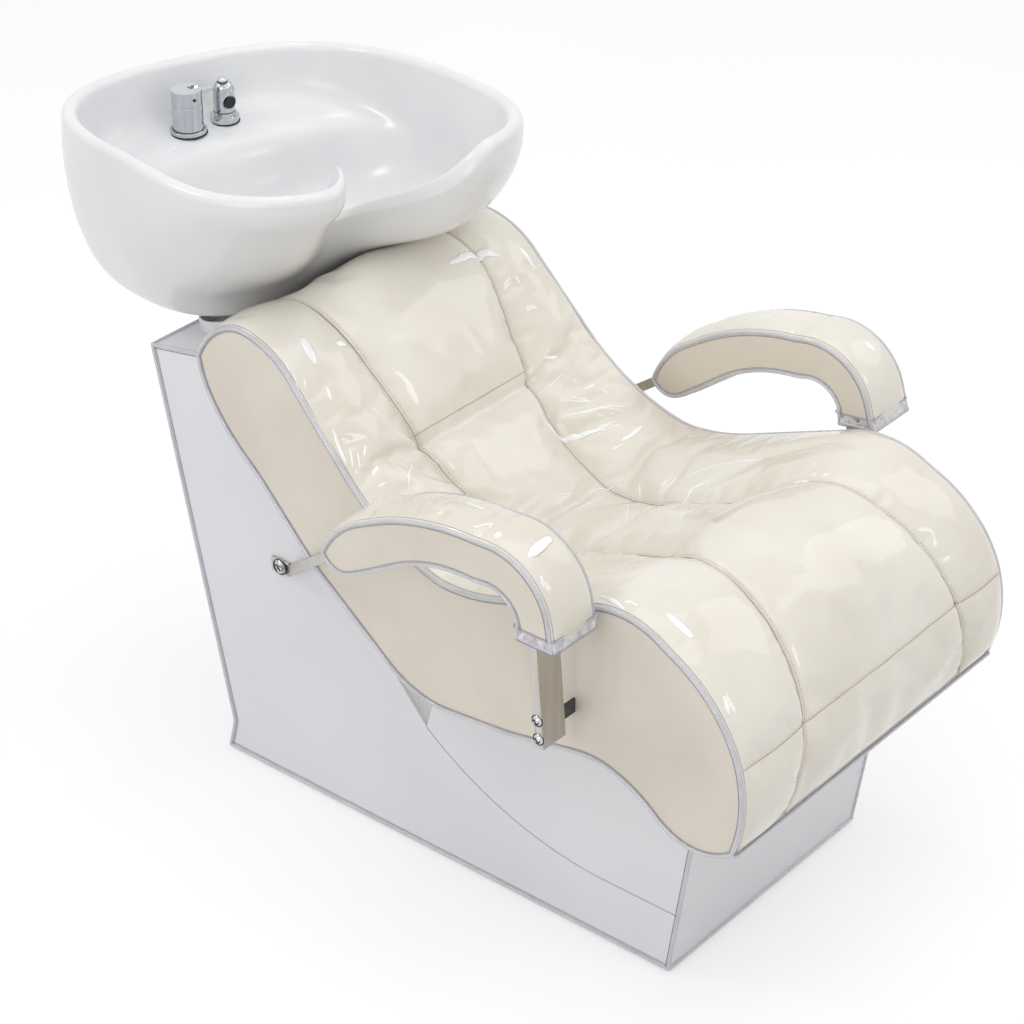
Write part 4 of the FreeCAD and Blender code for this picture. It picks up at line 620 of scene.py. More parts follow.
def buildSeatTrim():
    gap, inset, lift = seat["lineGap"], seat["pipingInset"], seat["seamLift"]
    for side, label in ((-1, "Left"), (1, "Right")):
        welt = [seatPath(side, inset, seat["pipingOut"])]
        # the piping, and thin lines of painted shade in the grooves either side of it
        lines = [seatPath(side, 0.0004, -gap), seatPath(side, inset + gap, 0.0006)]
        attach(tube("seatPiping" + label, welt, seat["weltRadius"], clearWelt, closed=True), "bed")
        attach(tube("seatFlange" + label, lines, seat["lineRadius"], seamShade, closed=True), "bed")
    y, z = seatLine[seat["topSteps"]] - 0.001
    reach = seatHalf(y) - seat["frontEnd"]
    spots = np.linspace(-reach, reach, seat["frontSteps"])
    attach(tube("seatPipingFront", [[(x, y, z) for x in spots]], seat["weltRadius"], clearWelt), "bed")
    # thin lines of painted shade either side of the front piping
    edges = [[(x, y + ahead, z + up) for x in spots] for ahead, up in seat["frontLines"]]
    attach(tube("seatFlangeFront", edges, seat["lineRadius"], seamShade), "bed")
    seams, rows = [], []
    shares = np.linspace(seat["seamFrom"], seat["seamTo"], seat["seamSteps"])
    for side in (-1, 1):
        seams.append([onCover(side * seamPlace(t, side), t, lift)[0] for t in shares])
        for off in (-seat["stitchGap"], seat["stitchGap"]):
            rows.append([onCover(side * (seamPlace(t, side) + off), t) for t in shares])
    reach = seatHalf(-0.59) - 0.006
    cross = np.linspace(-reach, reach, seat["crossSteps"])
    seams.append([onCover(x, seat["crossSeam"], lift)[0] for x in cross])
    rows.append([onCover(x, seat["crossSeam"] - seat["crossStitchGap"]) for x in cross])
    share = creaseRow(seatLine) / seat["topSteps"]
    between = np.linspace(-seamPlace(share, -1), seamPlace(share, 1), seat["creaseSteps"])
    seams.append([onCover(x, share, lift)[0] for x in between])
    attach(tube("seatSeams", seams, seat["seamLine"], seamGap), "bed")
    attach(stitches("seatStitching", rows, seat["stitchPitch"], seat["stitchLength"], seat["stitchWidth"],
                     seat["stitchRise"], threadMaterial), "bed")


buildSeatTrim()
print("seat done")


# Arm pads: the left one level, the right one pitched as in the photograph
arm = {
    "rear": 0.038, "length": 0.396, "low": 0.570, "rise": 0.144, "inner": 0.317, "outer": 0.405,
    "edge": 0.005, "crown": 0.006, "hingeY": -0.307, "hingeZ": 0.603, "rightPitch": 7.0,
    "weltRadius": 0.0027, "lineRadius": 0.0006, "swellCap": 0.006,
    "upperSteps": 80, "endSteps": 8, "underSteps": 66,      # rows along each part of the outline
    "columns": (0.009, 0.018, 0.030), "endCrown": 0.3,
    "sideRings": [(0.002, 0.0006), (0.006, 0.0010), (0.010, 0.0010)],
    "trimLines": [(0.0022, 0.0003), (-0.0012, -0.0046), (0.0068, 0.0007)],  # piping and its two lines
    "outline": [
        (1.0, 0.153), (0.942, 0.403), (0.803, 0.674), (0.563, 0.931), (0.311, 1.0), (0.101, 0.847),
        (0.02, 0.486), None, (0.0, 0.167), None, (0.152, 0.167), (0.172, 0.458), (0.311, 0.556),
        (0.487, 0.528), (0.672, 0.326), (0.778, 0.153), (0.874, 0.007), (0.949, 0.0), (1.0, 0.153)],
}


def armRing():
    start = arm["rear"] - arm["length"]
    chain = [None if p is None else (start + p[0] * arm["length"], arm["low"] + p[1] * arm["rise"])
             for p in arm["outline"]]
    upper = resample(runChain(chain[:9]), arm["upperSteps"])
    end = resample(runChain(chain[8:11]), arm["endSteps"])
    under = relax(resample(runChain(chain[10:]), arm["underSteps"]), 3)
    return np.concatenate([relax(upper, 3)[:-1], end[:-1], under[:-1]])


def armPlace(pitch):
    # the pad pitched about its front screws
    hinge = Vector((0, arm["hingeY"], arm["hingeZ"]))
    turn = Matrix.Rotation(math.radians(-pitch), 4, "X")
    return Matrix.Translation(hinge) @ turn @ Matrix.Translation(-hinge)


def buildArm(label, side, pitch):
    ring = armRing()
    normals = inwardNormals(ring)
    width, edge = arm["outer"] - arm["inner"], arm["edge"]
    endFrom, endTo = arm["upperSteps"] - 2, arm["upperSteps"] + arm["endSteps"] + 2
    spots = [0.0, edge * 0.12, edge * 0.5, edge, *arm["columns"], width / 2]
    spots += [width - s for s in spots[-2::-1]]
    columns = len(spots)
    vertices, free = [], []
    for i, (point, inward) in enumerate(zip(ring, normals)):
        for s in spots:
            near = min(s, width - s)
            crown = arm["crown"] * math.sin(math.pi * s / width) ** 0.7
            crown *= 1.0 if i < endFrom else arm["endCrown"]
            place = point + inward * (roundedEdge(near, edge) - crown)
            vertices.append((side * (arm["inner"] + s), place[0], place[1]))
            free.append(near > 0.006 and not endFrom <= i <= endTo)
    count = len(ring)
    faces = gridFaces(count, columns, wrapRows=True)
    topKinds = [0] * len(faces)
    for column, sign in ((0, -1), (columns - 1, 1)):
        addSide(vertices, faces, ring, normals, [i * columns + column for i in range(count)],
                [(edge + more, out) for more, out in arm["sideRings"]],
                lambda y, out: side * (arm["inner"] + spots[column] + sign * out),
                arm["upperSteps"] + arm["endSteps"] // 2)
    kinds = topKinds + [1] * (len(faces) - len(topKinds))
    free += [False] * (len(vertices) - len(free))
    place = armPlace(pitch)
    vertices = [place @ Vector(v) for v in vertices]
    pad = meshObject("armPad" + label, vertices, faces, [coverLeather, shadedSideLeather], kinds=kinds)
    puff(pad, free, arm["swellCap"])
    subdivided(pad)
    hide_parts("arm_pad_" + label.lower())
    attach(pad, "bed")
    for s, edgeName in ((0.0, "Inner"), (width, "Outer")):
        sign = 1 if s else -1
        # the piping, and thin lines of painted shade in the grooves either side of it
        lines = [[place @ Vector((side * (arm["inner"] + s + sign * out), *p)) for p in ring + normals * inset]
                 for inset, out in arm["trimLines"]]
        end = edgeName + label
        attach(tube("armPiping" + end, lines[:1], arm["weltRadius"], clearWelt, closed=True), "bed")
        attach(tube("armFlange" + end, lines[1:], arm["lineRadius"], seamShade, closed=True), "bed")


buildArm("Left", -1, 0.0)
buildArm("Right", 1, arm["rightPitch"])
print("arms done")


# Painted glints, each a thin white lens standing up from the cover along a film crease, in mm: its width, and
# then across and along for each place of its middle line, seen from above
paintedGlints = {
    "seatUpholstery": [
        (17, -208, 250, -214, 230, -220, 212), (15, -164, 223, -143, 226),
        (16, 106, 250, 150, 250, 176, 242, 190, 224), (10, 231, 220, 235, 207, 239, 194),
        (11, 113, 92, 107, 71, 115, 55, 135, 34, 160, 16, 193, 4), (4, 130, 64, 159, 46, 190, 29, 219, 6),
        (3, 146, 77, 165, 60, 194, 43), (9, 170, -21, 191, -27, 215, -28), (7, 190, 62, 212, 60),
        (7, 164, 119, 188, 112), (6, 68, -43, 92, -45, 116, -51), (7, -223, 191, -231, 175),
        (5, -251, 156, -257, 141, -262, 120), (8, -238, 97, -219, 101),
        (13, -264, -430, -266, -451, -267, -476), (8, -276, -330, -284, -359, -292, -384),
        (7, -288, -541, -295, -556), (5, 150, -150, 176, -179, 187, -222, 197, -254),
        (3, 100, -96, 62, -118, 20, -150), (3, 72, -68, 37, -70, 4, -64), (3, 140, 30, 170, 6, 196, -6),
        (3, 128, 110, 150, 98, 180, 92), (3, -180, 160, -150, 130, -128, 112), (3, -190, 110, -186, 70),
        (3, -255, 223, -261, 211, -264, 197), (3, -247, 210, -254, 200), (3, -254, 236, -260, 225),
        (3, -244, 131, -251, 121, -257, 114), (4, -221, 122, -235, 113), (4, -241, 83, -226, 81),
        (4, -155, 96, -177, 82, -197, 66), (3, -239, 121, -249, 108), (5, 152, -18, 170, -26),
        (3, 129, -88, 106, -107), (3, 13, -27, 41, -40), (3, 110, -144, 59, -157, 14, -173),
        (4, 89, -189, 126, -182, 157, -206), (3, 162, 67, 186, 48), (3, 189, 32, 222, 11),
        (4, 212, 50, 217, 39),
    ],
    "armPadLeft": [
        (17, -388, -303, -362, -301, -334, -298), (6, -390, -325, -395, -336), (4, -350, -200, -345, -160),
    ],
    "armPadRight": [
        (10, 369, -303, 372, -320), (4, 350, -160, 356, -120),
    ],
}
# painted glints: how finely each is stepped, how far it stands up and how ragged its edges are
fold = {"step": 0.004, "rise": 0.0012, "risePerWidth": 0.16, "ragged": 0.35}
lensProfile = [(-1.0, -0.15), (-0.7, 0.55), (0.0, 1.0), (0.7, 0.55), (1.0, -0.15), (0.0, -0.6)]


def paintedGlintsOn(coverName, glints):
    tree = treeOf(bpy.data.objects[coverName])
    vertices, faces = [], []
    for index, row in enumerate(glints):
        width, *flat = [v / 1000 for v in row]
        places = list(zip(flat[::2], flat[1::2]))
        steps = max(8, round(sum(map(math.dist, places, places[1:])) / fold["step"]))
        line = relax(resample(np.array(places, float), steps), 2)
        first, last = len(vertices), len(line) - 1
        for k, (x, y) in enumerate(line):
            spot, normal = tree.ray_cast(Vector((x, y, 1.2)), Vector((0, 0, -1)))[:2]
            ahead = Vector((*(line[min(k + 1, last)] - line[max(k - 1, 0)]), 0.0))
            across = ahead.cross(normal).normalized()
            swell = math.sin(math.pi * (0.03 + 0.94 * k / last)) ** 0.6
            ragged = 1 + fold["ragged"] * noise.noise(Vector((index * 7.3, k * 0.45, 0.0)))
            half, rise = width / 2 * swell * ragged, min(fold["rise"], width * fold["risePerWidth"]) * swell
            vertices += [spot + across * (half * u) + normal * (rise * v) for u, v in lensProfile]
        size = len(lensProfile)
        faces += [tuple(first + v for v in face) for face in gridFaces(last + 1, size, wrapColumns=True)]
        faces.append(tuple(range(first, first + size)))
        faces.append(tuple(range(first + last * size, first + (last + 1) * size)))
    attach(meshObject(coverName + "FilmFolds", vertices, faces, [paintedGlint]), "bed")


for coverName, glints in paintedGlints.items():
    paintedGlintsOn(coverName, glints)


# Film gathered round the lower front end of each arm, its grey and white patches painted shade and painted
# glints
collar = {"low": 0.5930, "high": 0.6115, "front": -0.3590, "rear": -0.2975, "corner": 0.006, "proud": 0.0012,
          "lineRadius": 0.0008, "rows": 6, "lean": 0.17, "rough": 0.0011, "roughPerMetre": (160, 160, 220),
          "steps": 96}


def collarRing(z, out):
    # rounded rectangle round the end of the pad at one height
    lean = (z - collar["low"]) * collar["lean"]
    lowX, highX = arm["inner"] - out, arm["outer"] + out
    lowY, highY = collar["front"] + lean - out, collar["rear"] + lean + out
    r = collar["corner"]
    ring = []
    for cx, cy, start in ((highX - r, highY - r, 0), (lowX + r, highY - r, 1), (lowX + r, lowY + r, 2),
                          (highX - r, lowY + r, 3)):
        angles = [math.pi / 2 * (start + k / 6) for k in range(7)]
        ring += [(cx + r * math.cos(a), cy + r * math.sin(a)) for a in angles]
    flat = resample(np.array(ring + ring[:1]), collar["steps"])[:-1]
    return [(x, y, z) for x, y in flat]


def buildCollar(label, side, pitch):
    place = armPlace(pitch)
    rows = []
    for k in range(collar["rows"]):
        t = k / (collar["rows"] - 1)
        z = collar["low"] + (collar["high"] - collar["low"]) * t
        out = collar["proud"] * (1.4 - 0.6 * t)
        row = []
        for x, y, _ in collarRing(z, out):
            scaled = [a * b for a, b in zip((x, y, z), collar["roughPerMetre"])]
            rough = collar["rough"] * noise.noise(Vector(scaled))
            row.append((x + rough * (1 if x > 0.36 else -1), y - rough, z + rough * 0.6))
        rows.append(row)
    rows += [collarRing(collar["high"], -0.002), collarRing(collar["low"], -0.002)]
    points = [place @ Vector((side * x, y, z)) for row in rows for x, y, z in row]
    faces = gridFaces(len(rows), len(rows[0]), wrapRows=True, wrapColumns=True)
    band = meshObject("armCollar" + label, points, faces, [gatheredFilm])
    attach(subdivided(band), "bed")
    # thin lines of painted shade along the band's upper and lower edges
    lines = [[place @ Vector((side * x, y, z)) for x, y, z in collarRing(height, collar["proud"] * 1.6)]
             for height in (collar["low"], collar["high"])]
    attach(tube("armCollarEdge" + label, lines, collar["lineRadius"], seamShade, closed=True), "bed")


buildCollar("Left", -1, 0.0)
buildCollar("Right", 1, arm["rightPitch"])


def islands(mesh):
    # corners of each separate solid of a node
    work = bmesh.new()
    work.from_mesh(mesh)
    bmesh.ops.remove_doubles(work, verts=work.verts, dist=0.00002)
    left, found = set(work.verts), []
    while left:
        todo, group = [left.pop()], []
        while todo:
            corner = todo.pop()
            group.append(corner.co.copy())
            for edge in corner.link_edges:
                other = edge.other_vert(corner)
                if other in left:
                    left.discard(other)
                    todo.append(other)
        found.append(group)
    work.free()
    return found


# Dome screws: a ring of painted shadow round each head and a curved slot across it in painted shade, as shares
# of the head's radius
dome = {"top": 0.0006, "rim": 0.9, "ring": 1.02, "ringDown": 0.0006, "ringRadius": 0.0008, "slotRadius": 0.0009,
        "slotReach": 0.62, "slotCurve": 0.32, "slotFall": 0.42, "slotUp": 0.0003}


def domeMarks(node, name):
    rings, slots = [], []
    for group in islands(nodes[node].data):
        side = 1 if group[0].x > 0 else -1
        high = max(abs(v.x) for v in group)
        top = [v for v in group if abs(v.x) > high - dome["top"]]
        cy, cz = (sum(v[k] for v in top) / len(top) for k in (1, 2))
        radius = max(math.hypot(v.y - cy, v.z - cz) for v in group)
        base = max(abs(v.x) for v in group if math.hypot(v.y - cy, v.z - cz) > radius * dome["rim"])
        rings.append([(side * (base - dome["ringDown"]), y, z)
                      for y, z, _ in circleAt(cy, cz, 0, radius * dome["ring"], 32)])
        rise = high - base
        slots.append([(side * (base + rise * math.sqrt(1 - dome["slotFall"] * t * t) + dome["slotUp"]),
                       cy + dome["slotReach"] * radius * t,
                       cz + dome["slotCurve"] * radius * math.sin(math.pi * t))
                      for t in np.linspace(-1, 1, 13)])
    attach(tube(name + "Rings", rings, dome["ringRadius"], shadowGap, closed=True), "bed")
    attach(tube(name + "Slots", slots, dome["slotRadius"], shadowGap), "bed")


domeMarks("arm_post_screws", "postScrew")
domeMarks("arm_stay_screws", "stayScrew")
print("film and screws done")


# Bowl: cast in one piece; outside wall, rounded lip, inside wall, shelf, basin and drain on one grid
bowlForm = {
    "centreY": 0.444, "rim": 0.975, "foot": 0.700, "floor": 0.725, "shelf": 0.850, "wall": 0.022, "lip": 0.011,
    "halfWidth": 0.293, "back": 0.351, "front": 0.305, "fall": 0.1, "cant": 0.04, "turn": 15.0, "belly": 2.3,
    "footHalf": 0.173, "footBack": 0.200, "footFront": 0.015, "neckFront": 0.133, "neckHalf": 0.069,
    "neckLow": 0.852, "neckLeft": (-0.056, -0.008), "neckRight": (0.0, 0.150), "lobeDip": 0.018,
    "shelfFront": 0.208, "floorHalf": 0.060, "floorBack": 0.110, "drainPlace": 0.043, "drainHole": 0.021,
    "columns": 264, "innerSteps": 46, "outerSteps": 26, "softenRounds": 26,
    "backPower": 2.6, "frontPower": 2.9, "neckFade": 1.8, "lobeBlend": 0.12,
    "leftLobe": [(0.0, 0.0), (0.083, 0.0), (0.18, 0.114), (0.3, 0.238), (0.435, 0.362), (0.572, 0.497),
                 (0.71, 0.662), (0.853, 0.883), (1.0, 1.0)],
    "rightLobe": [(0.0, 0.0), (0.1, 0.0), (0.2, 0.04), (0.35, 0.13), (0.5, 0.26), (0.6, 0.39), (0.68, 0.54),
                  (0.75, 0.7), (0.85, 0.88), (1.0, 1.0)],
}


def softTable(x, table):
    xs, ys = zip(*table)
    spread = np.linspace(x - 0.05, x + 0.05, 7)
    return float(np.mean(np.interp(np.clip(spread, 0, 1), xs, ys)))


def bowlPoint(angle, depth, wall=0.0, across=None, back=None, hollow=0.0):
    f = bowlForm
    depth = min(1.0, max(0.0, depth))
    roundIn = math.sqrt(max(0.0, 1 - depth ** f["belly"]))
    if across is None:
        across = f["footHalf"] + (f["halfWidth"] - f["footHalf"]) * roundIn
    if back is None:
        back = f["footBack"] + (f["back"] - f["footBack"]) * roundIn
    c, s = math.cos(angle), math.sin(angle)
    side = 0.5 + 0.5 * math.tanh(c / f["lobeBlend"])       # 0 on the left lobe, 1 on the right one
    lobe = (1 - side) * softTable(depth, f["leftLobe"]) + side * softTable(depth, f["rightLobe"])
    front = f["front"] - (f["front"] - f["footFront"]) * lobe - hollow
    fade = depth ** f["neckFade"]
    neck = f["neckFront"] * (1 - fade) + f["footFront"] * fade - hollow
    power = 2 / (f["backPower"] if s > 0 else f["frontPower"])
    x = (across - wall) * math.copysign(abs(c) ** power, c)
    y = ((back + front) / 2 - wall) * math.copysign(abs(s) ** power, s)
    if s < 0:
        y += max(0.0, front - neck) * math.exp(-(x / f["neckHalf"]) ** 2) * s * s
    y += (back - front) / 2
    turn = math.radians(-f["turn"]) * roundIn
    return np.array([x * math.cos(turn) - y * math.sin(turn),
                     f["centreY"] + x * math.sin(turn) + y * math.cos(turn)])


def rimHeight(p):
    # the tilted rim, and the neck recess that dips into it
    f = bowlForm
    turn = math.radians(f["turn"])
    dx, dy = p[0], p[1] - f["centreY"]
    u = dx * math.cos(turn) - dy * math.sin(turn)
    v = dx * math.sin(turn) + dy * math.cos(turn)
    top = f["rim"] - f["fall"] * v - f["cant"] * u
    if v > 0:
        return top
    top -= f["lobeDip"] * ramp(-v, 0.0, 0.22) * (1 - ramp(u, -0.02, 0.10))
    left = ramp(u, *f["neckLeft"])
    right = 1 - ramp(u, *f["neckRight"])
    return top - (top - f["neckLow"]) * min(left, right)


def depthAt(z):
    return (bowlForm["rim"] - z) / (bowlForm["rim"] - bowlForm["foot"])


def evenAngles():
    fine = np.linspace(0, 2 * math.pi, 1801)
    rim = np.array([bowlPoint(a, 0.05) for a in fine])
    run = lengthsAlong(rim)
    return np.interp(np.linspace(0, run[-1], bowlForm["columns"] + 1)[:-1], run, fine)


def bowlProfile(angle):
    f = bowlForm
    cutAt = f["rim"]
    for _ in range(12):
        cutAt = 0.5 * cutAt + 0.5 * rimHeight(bowlPoint(angle, depthAt(cutAt), f["wall"] / 2))
    edge = cutAt - f["lip"]
    drain = np.array([0.0, f["centreY"] + f["drainPlace"]])
    shelfIn = math.sqrt(1 - depthAt(f["shelf"]) ** f["belly"])
    topWidth = f["footHalf"] + (f["halfWidth"] - f["footHalf"]) * shelfIn
    inner = []
    if edge > f["shelf"] + 0.004:
        for z in np.linspace(edge, f["shelf"], 10):
            inner.append((*bowlPoint(angle, depthAt(z), f["wall"]), z))
    else:
        inner.append((*bowlPoint(angle, depthAt(edge), f["wall"]), edge))
    for share in np.linspace(0.0, 1.0, 14):
        z = f["shelf"] - share * (f["shelf"] - f["floor"])
        if z > edge - 0.003:
            continue
        roundIn = math.sqrt(max(0.0, 1 - share ** 2))
        across = f["floorHalf"] + (topWidth - f["wall"] - f["floorHalf"]) * roundIn
        back = f["floorBack"] + (f["shelfFront"] - f["floorBack"]) * roundIn
        inner.append((*bowlPoint(angle, depthAt(z), 0.0, across, back, f["wall"]), z))
    away = np.array(inner[-1][:2]) - drain
    away = away / np.linalg.norm(away)
    ring = drain + away * f["drainHole"]
    inner.append((*ring, f["floor"]))
    inner = relax(resample(np.array(inner), f["innerSteps"]), f["softenRounds"])
    outerTop = np.array([*bowlPoint(angle, depthAt(edge)), edge])
    innerTop = inner[0]
    middle = (outerTop + innerTop) / 2
    lip = [middle + (outerTop - middle) * math.cos(t) + np.array([0, 0, f["lip"]]) * math.sin(t)
           for t in np.linspace(0, math.pi, 9)[1:-1]]
    rise = np.sin(np.linspace(0, math.pi / 2, f["outerSteps"])) ** 1.4
    outer = [np.array([*bowlPoint(angle, depthAt(z)), z]) for z in f["foot"] + (edge - f["foot"]) * rise]
    foot = [np.array([*(ring + (outer[0][:2] - ring) * t), f["foot"]]) for t in (0.0, 0.5, 0.9, 0.97)]
    return foot + outer + lip + list(inner)


def buildBowl():
    angles = evenAngles()
    rows = np.array([bowlProfile(a) for a in angles])
    for _ in range(3):                                  # evens the joins round the rim
        rows = rows * 0.6 + 0.2 * (np.roll(rows, 1, axis=0) + np.roll(rows, -1, axis=0))
    faces = gridFaces(*rows.shape[:2], wrapRows=True, wrapColumns=True)
    obj = meshObject("bowlGlazed", rows.reshape(-1, 3), faces, [finishes["white_ceramic"]])
    subdivided(obj)
    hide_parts("bowl")
    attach(obj, "basin")


buildBowl()
print("bowl done")

# Edges of the carried-over pieces are broken a little, as real ones are
edgeBreak = {"arm_post": 0.0012, "arm_stay": 0.0008, "mixer": 0.0006, "spray": 0.0006, "hand": 0.0008,
             "holder": 0.0005, "hinge": 0.0015, "": 0.0004}     # the last one is for every other name
weldWithin, edgeAngle, faceWeight = 0.00002, 40, 80
for name, obj in nodes.items():
    if obj.hide_render or name.startswith(("base_", "rear_")):
        continue
    obj.modifiers.new("Weld", "WELD").merge_threshold = weldWithin
    bevel = obj.modifiers.new("Edges", "BEVEL")
    bevel.width = next(width for start, width in edgeBreak.items() if name.startswith(start))
    bevel.segments = 2
    bevel.limit_method = "ANGLE"
    bevel.angle_limit = math.radians(edgeAngle)
    bevel.harden_normals = False
    obj.data.polygons.foreach_set("use_smooth", [True] * len(obj.data.polygons))
    obj.modifiers.new("EvenShade", "WEIGHTED_NORMAL").weight = faceWeight

# Fittings: the black rubber seal at each ring, dark lines of painted shade in the grooves of the mixer, holder
# and knob, and the pull knob on the spray
fitting = {"line": 0.0011, "groove": 0.0007, "knobRadius": 0.0075, "knobUp": 0.004, "ringUp": 0.0062,
           "faceRadius": 0.0112, "faceLine": 0.0009}


def ballAt(name, centre, radius, squash, material):
    # a round knob of rings, a little flattened
    rows, count = 14, 28
    vertices = []
    for r in range(1, rows):
        out, up = radius * math.sin(math.pi * r / rows), radius * squash * math.cos(math.pi * r / rows)
        turns = [2 * math.pi * k / count for k in range(count)]
        vertices += [Vector(centre) + Vector((out * math.cos(t), out * math.sin(t), up)) for t in turns]
    faces = gridFaces(rows - 1, count, wrapColumns=True)
    faces += [tuple(range(count)), tuple(range((rows - 2) * count, (rows - 1) * count))]
    return meshObject(name, vertices, faces, [material])


def middleOf(node):
    # the middle of a node's box in plan, half its width, and its lowest and highest point
    low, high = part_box(node)
    return (low[0] + high[0]) / 2, (low[1] + high[1]) / 2, (high[0] - low[0]) / 2, low[2], high[2]


def buildFittings():
    joints = []
    for node in ("mixer_seal", "holder_seal"):
        x, y, radius, low, high = middleOf(node)
        joints.append(circleAt(x, y, low + fitting["line"] * 0.8, radius + fitting["line"] * 0.2))
    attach(tube("fittingSeals", joints, fitting["line"], finishes["black_rubber"], closed=True), "basin")
    x, y, _, _, high = middleOf("mixer_seal")
    groove = circleAt(x, y, high + fitting["ringUp"], middleOf("mixer_cap")[2] + 0.0002)
    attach(tube("mixerGrooves", [groove], fitting["groove"], shadowGap, closed=True), "basin")
    x, y, _, _, high = middleOf("spray_holder")
    _, _, radius, _, sprayHigh = middleOf("hand_spray")
    groove = circleAt(x, y, high - 0.0008, radius - 0.0004)
    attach(tube("holderGrooves", [groove], fitting["groove"], shadowGap, closed=True), "basin")
    top = (x - 0.3 * radius, y - 0.2 * radius, sprayHigh + fitting["knobUp"] * 0.2)
    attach(ballAt("sprayKnob", top, fitting["knobRadius"], 0.7, finishes["chrome"]), "spray")
    groove = circleAt(top[0], top[1], top[2] - 0.0022, fitting["knobRadius"] + 0.0003)
    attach(tube("sprayKnobGroove", [groove], fitting["groove"], shadowGap, closed=True), "spray")
    faceLow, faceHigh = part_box("spray_face")
    middle = Vector([(a + b) / 2 for a, b in zip(faceLow, faceHigh)])
    axis = Vector((x, y, middle.z)) - middle
    outward = Vector((-axis.x, -axis.y, 0.0)).normalized()
    aside = Vector((-outward.y, outward.x, 0.0))
    ring = [middle + aside * along + Vector((0, 0, up))
            for along, up, _ in circleAt(0, 0, 0, fitting["faceRadius"], 40)]
    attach(tube("sprayFaceRim", [ring], fitting["faceLine"], finishes["chrome"], closed=True), "spray")


buildFittings()
print("fittings done")

# Base trim: clear piping along every edge of the panels, with a thin line of painted shade in the groove beside
# it
base = {"half": 0.2255, "weltRadius": 0.0027, "lineRadius": 0.0006, "lineGap": 0.0052, "middle": (0.0, 0.3),
        "rearEdge": [(0.417, 0.005), None, (0.405, 0.055), None, (0.532, 0.661)],
        "deckEdge": [(0.532, 0.661), None, (0.416, 0.682)],
        "frontEdge": [(-0.424, 0.005), None, (-0.467, 0.300)],
        "lowEdge": [(-0.424, 0.005), None, (0.417, 0.005)],
        "crossEdges": [("FrontLow", -0.425, 0.005), ("RearLow", 0.418, 0.005), ("RearTop", 0.533, 0.661)],
        "seam": [(0.016, 0.217), (-0.1317835, 0.1346143), (-0.298, 0.103), None, (-0.4385, 0.103)],
        "seamLine": 0.0008, "seamInset": 0.0006, "seamStep": 0.008, "step": 0.01}
for side, label in ((-1, "Left"), (1, "Right")):
    for edgeName in ("rearEdge", "deckEdge", "frontEdge", "lowEdge"):
        title = edgeName[0].upper() + edgeName[1:] + label
        line = runChain(base[edgeName], base["step"])
        (ay, az), (by, bz) = line[0], line[-1]
        run = math.dist((ay, az), (by, bz))
        inY, inZ = (bz - az) / run * base["lineGap"], (ay - by) / run * base["lineGap"]
        if inY * (base["middle"][0] - ay) + inZ * (base["middle"][1] - az) < 0:
            inY, inZ = -inY, -inZ
        half = side * base["half"]
        welt, grooveShade = [(half, y, z) for y, z in line], [(half, y + inY, z + inZ) for y, z in line]
        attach(tube("basePiping" + title, [welt], base["weltRadius"], clearWelt), "bed")
        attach(tube("baseFlange" + title, [grooveShade], base["lineRadius"], seamShade), "bed")
    inside = side * (base["half"] - base["seamInset"])
    path = [(inside, y, z) for y, z in runChain(base["seam"], base["seamStep"])]
    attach(tube("baseSeam" + label, [path], base["seamLine"], seamShade), "bed")
for label, y, z in base["crossEdges"]:
    path = [(x, y, z) for x in np.linspace(-base["half"], base["half"], 20)]
    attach(tube("basePiping" + label, [path], base["weltRadius"], clearWelt), "bed")
print("base trim done")

# Film stretched over the open notch between the panels and the seat, gathered at its lower tip, grey with
# painted shade of the recess
notch = {"inset": 0.006, "tip": (0.016, 0.214), "rear": (0.186, 0.408), "front": (-0.012, 0.339),
         "ripple": 0.0016, "ripples": 5, "sag": 0.004, "steps": 40, "thickness": 0.0006}


def buildNotchFilm(side, label):
    tip, rear, front = (np.array(notch[key]) for key in ("tip", "rear", "front"))
    steps = notch["steps"]
    vertices = []
    for i in range(steps + 1):
        up = 0.02 + 0.98 * i / steps
        for j in range(steps + 1):
            along = j / steps
            top = rear + (front - rear) * along
            y, z = tip + (top - tip) * up
            middle = math.sin(math.pi * up)
            wave = notch["ripple"] * math.sin(2 * math.pi * notch["ripples"] * along) * middle
            sag = notch["sag"] * math.sin(math.pi * along) * middle
            vertices.append((side * (base["half"] - notch["inset"] - sag + wave * (1.2 - up)), y, z))
    film = meshObject("notchFilm" + label, vertices, gridFaces(steps + 1, steps + 1), [notchFilm])
    film.modifiers.new("Sheet", "SOLIDIFY").thickness = notch["thickness"]
    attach(finalMesh(film), "bed")


for side, label in ((-1, "Left"), (1, "Right")):
    buildNotchFilm(side, label)
print("notch film done")

# Studio: pale floor that keeps the shadow, soft boxes, a plain world
studio = {
    "floorHalf": 25.0, "floorTone": "#D2D2D2", "floorGlow": 0.42, "worldLight": 0.72,
    "boxes": [  # place, aim, side length, watts
        ((0.2, -0.3, 4.2), (0.0, 0.0, 0.5), 3.0, 26),
        ((-3.2, -0.4, 1.6), (0.0, 0.0, 0.5), 1.6, 17),
        ((-1.6, 2.0, 3.0), (0.0, 0.0, 0.6), 0.6, 9),
        ((0.8, -3.4, 2.6), (0.0, -0.1, 0.5), 0.8, 8),
        ((0.9, 1.5, 3.1), (0.0, 0.0, 0.6), 0.4, 2.5),
        ((2.6, -1.2, 2.6), (0.0, 0.0, 0.6), 1.6, 9),
    ],
    "camera": (-2.8877, -2.3417, 2.7303), "cameraTilt": 31.216, "cameraTurn": 50.446,   # degrees
    "lens": 106.71, "sensor": 36.0, "seenTo": 100.0,
}


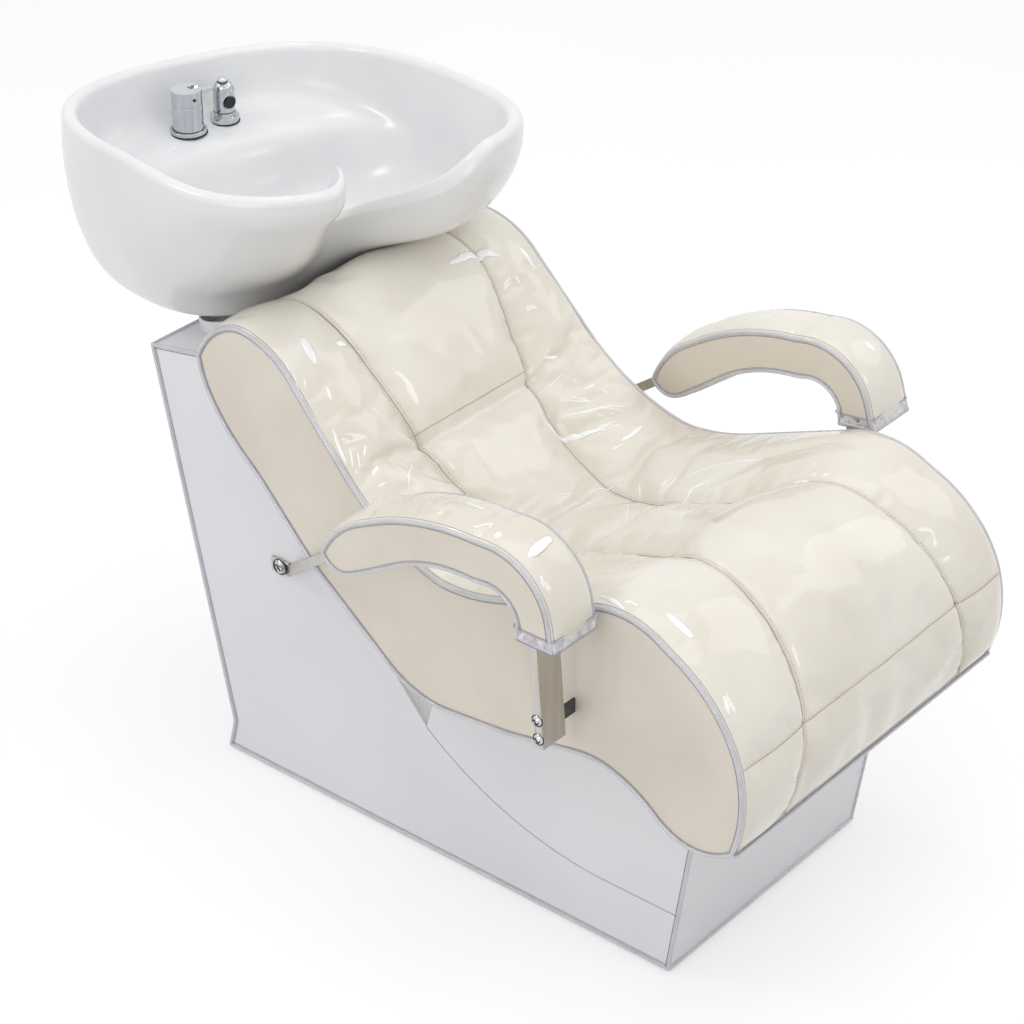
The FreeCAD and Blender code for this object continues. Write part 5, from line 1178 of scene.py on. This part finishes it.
def seenShare(tree):
    # 1 for rays from the camera and for what metal and glass show
    path = addNode(tree, "ShaderNodeLightPath")
    first = addNode(tree, "ShaderNodeMath", {"operation": "MAXIMUM"},
                    {0: path.outputs["Is Camera Ray"], 1: path.outputs["Is Glossy Ray"]})
    return addNode(tree, "ShaderNodeMath", {"operation": "MAXIMUM"},
                   {0: first.outputs[0], 1: path.outputs["Is Transmission Ray"]}).outputs[0]


def floorMaterial():
    material, tree, coords = newMaterial("paintedStudioFloor")
    colour = twoTone(tree, coords, studio["floorTone"], "#D4D4D4", 0.8)
    diffuse = addNode(tree, "ShaderNodeBsdfDiffuse", links={"Color": colour})
    strength = addNode(tree, "ShaderNodeMath", {"operation": "MULTIPLY", 1: studio["floorGlow"]},
                       {0: seenShare(tree)})
    glow = addNode(tree, "ShaderNodeEmission", links={"Strength": strength.outputs[0]})
    both = addNode(tree, "ShaderNodeAddShader", links={0: diffuse.outputs[0], 1: glow.outputs[0]})
    addNode(tree, "ShaderNodeOutputMaterial", links={"Surface": both.outputs[0]})
    return material


def buildStudio():
    h = studio["floorHalf"]
    floor = meshObject("studioFloor", [(-h, -h, 0), (h, -h, 0), (h, h, 0), (-h, h, 0)], [(0, 1, 2, 3)],
                       [floorMaterial()], smooth=False)
    world = bpy.data.worlds.new("paleStudio")
    bpy.context.scene.world = world
    world.use_nodes = True
    tree = world.node_tree
    tree.nodes.clear()
    strength = addNode(tree, "ShaderNodeMapRange", {"To Min": studio["worldLight"], "To Max": 1.0},
                       {"Value": seenShare(tree)})
    backdrop = addNode(tree, "ShaderNodeBackground", {"Color": (1, 1, 1, 1)}, {"Strength": strength.outputs[0]})
    addNode(tree, "ShaderNodeOutputWorld", links={"Surface": backdrop.outputs[0]})
    for index, (place, aim, size, watts) in enumerate(studio["boxes"]):
        lamp = bpy.data.lights.new("softBox%d" % index, "AREA")
        lamp.shape = "SQUARE"
        lamp.size = size
        lamp.energy = watts
        obj = linked("softBox%d" % index, lamp)
        obj.location = place
        obj.rotation_euler = (Vector(aim) - Vector(place)).to_track_quat("-Z", "Y").to_euler()
    camera = bpy.data.cameras.new("photoView")
    camera.lens = studio["lens"]
    camera.sensor_width = studio["sensor"]
    camera.clip_end = studio["seenTo"]
    obj = linked("photoView", camera)
    obj.location = studio["camera"]
    obj.rotation_euler = (math.radians(90 - studio["cameraTilt"]), 0.0, math.radians(-studio["cameraTurn"]))
    bpy.context.scene.camera = obj
    bpy.context.scene.view_settings.view_transform = "Standard"


buildStudio()
print("studio done")
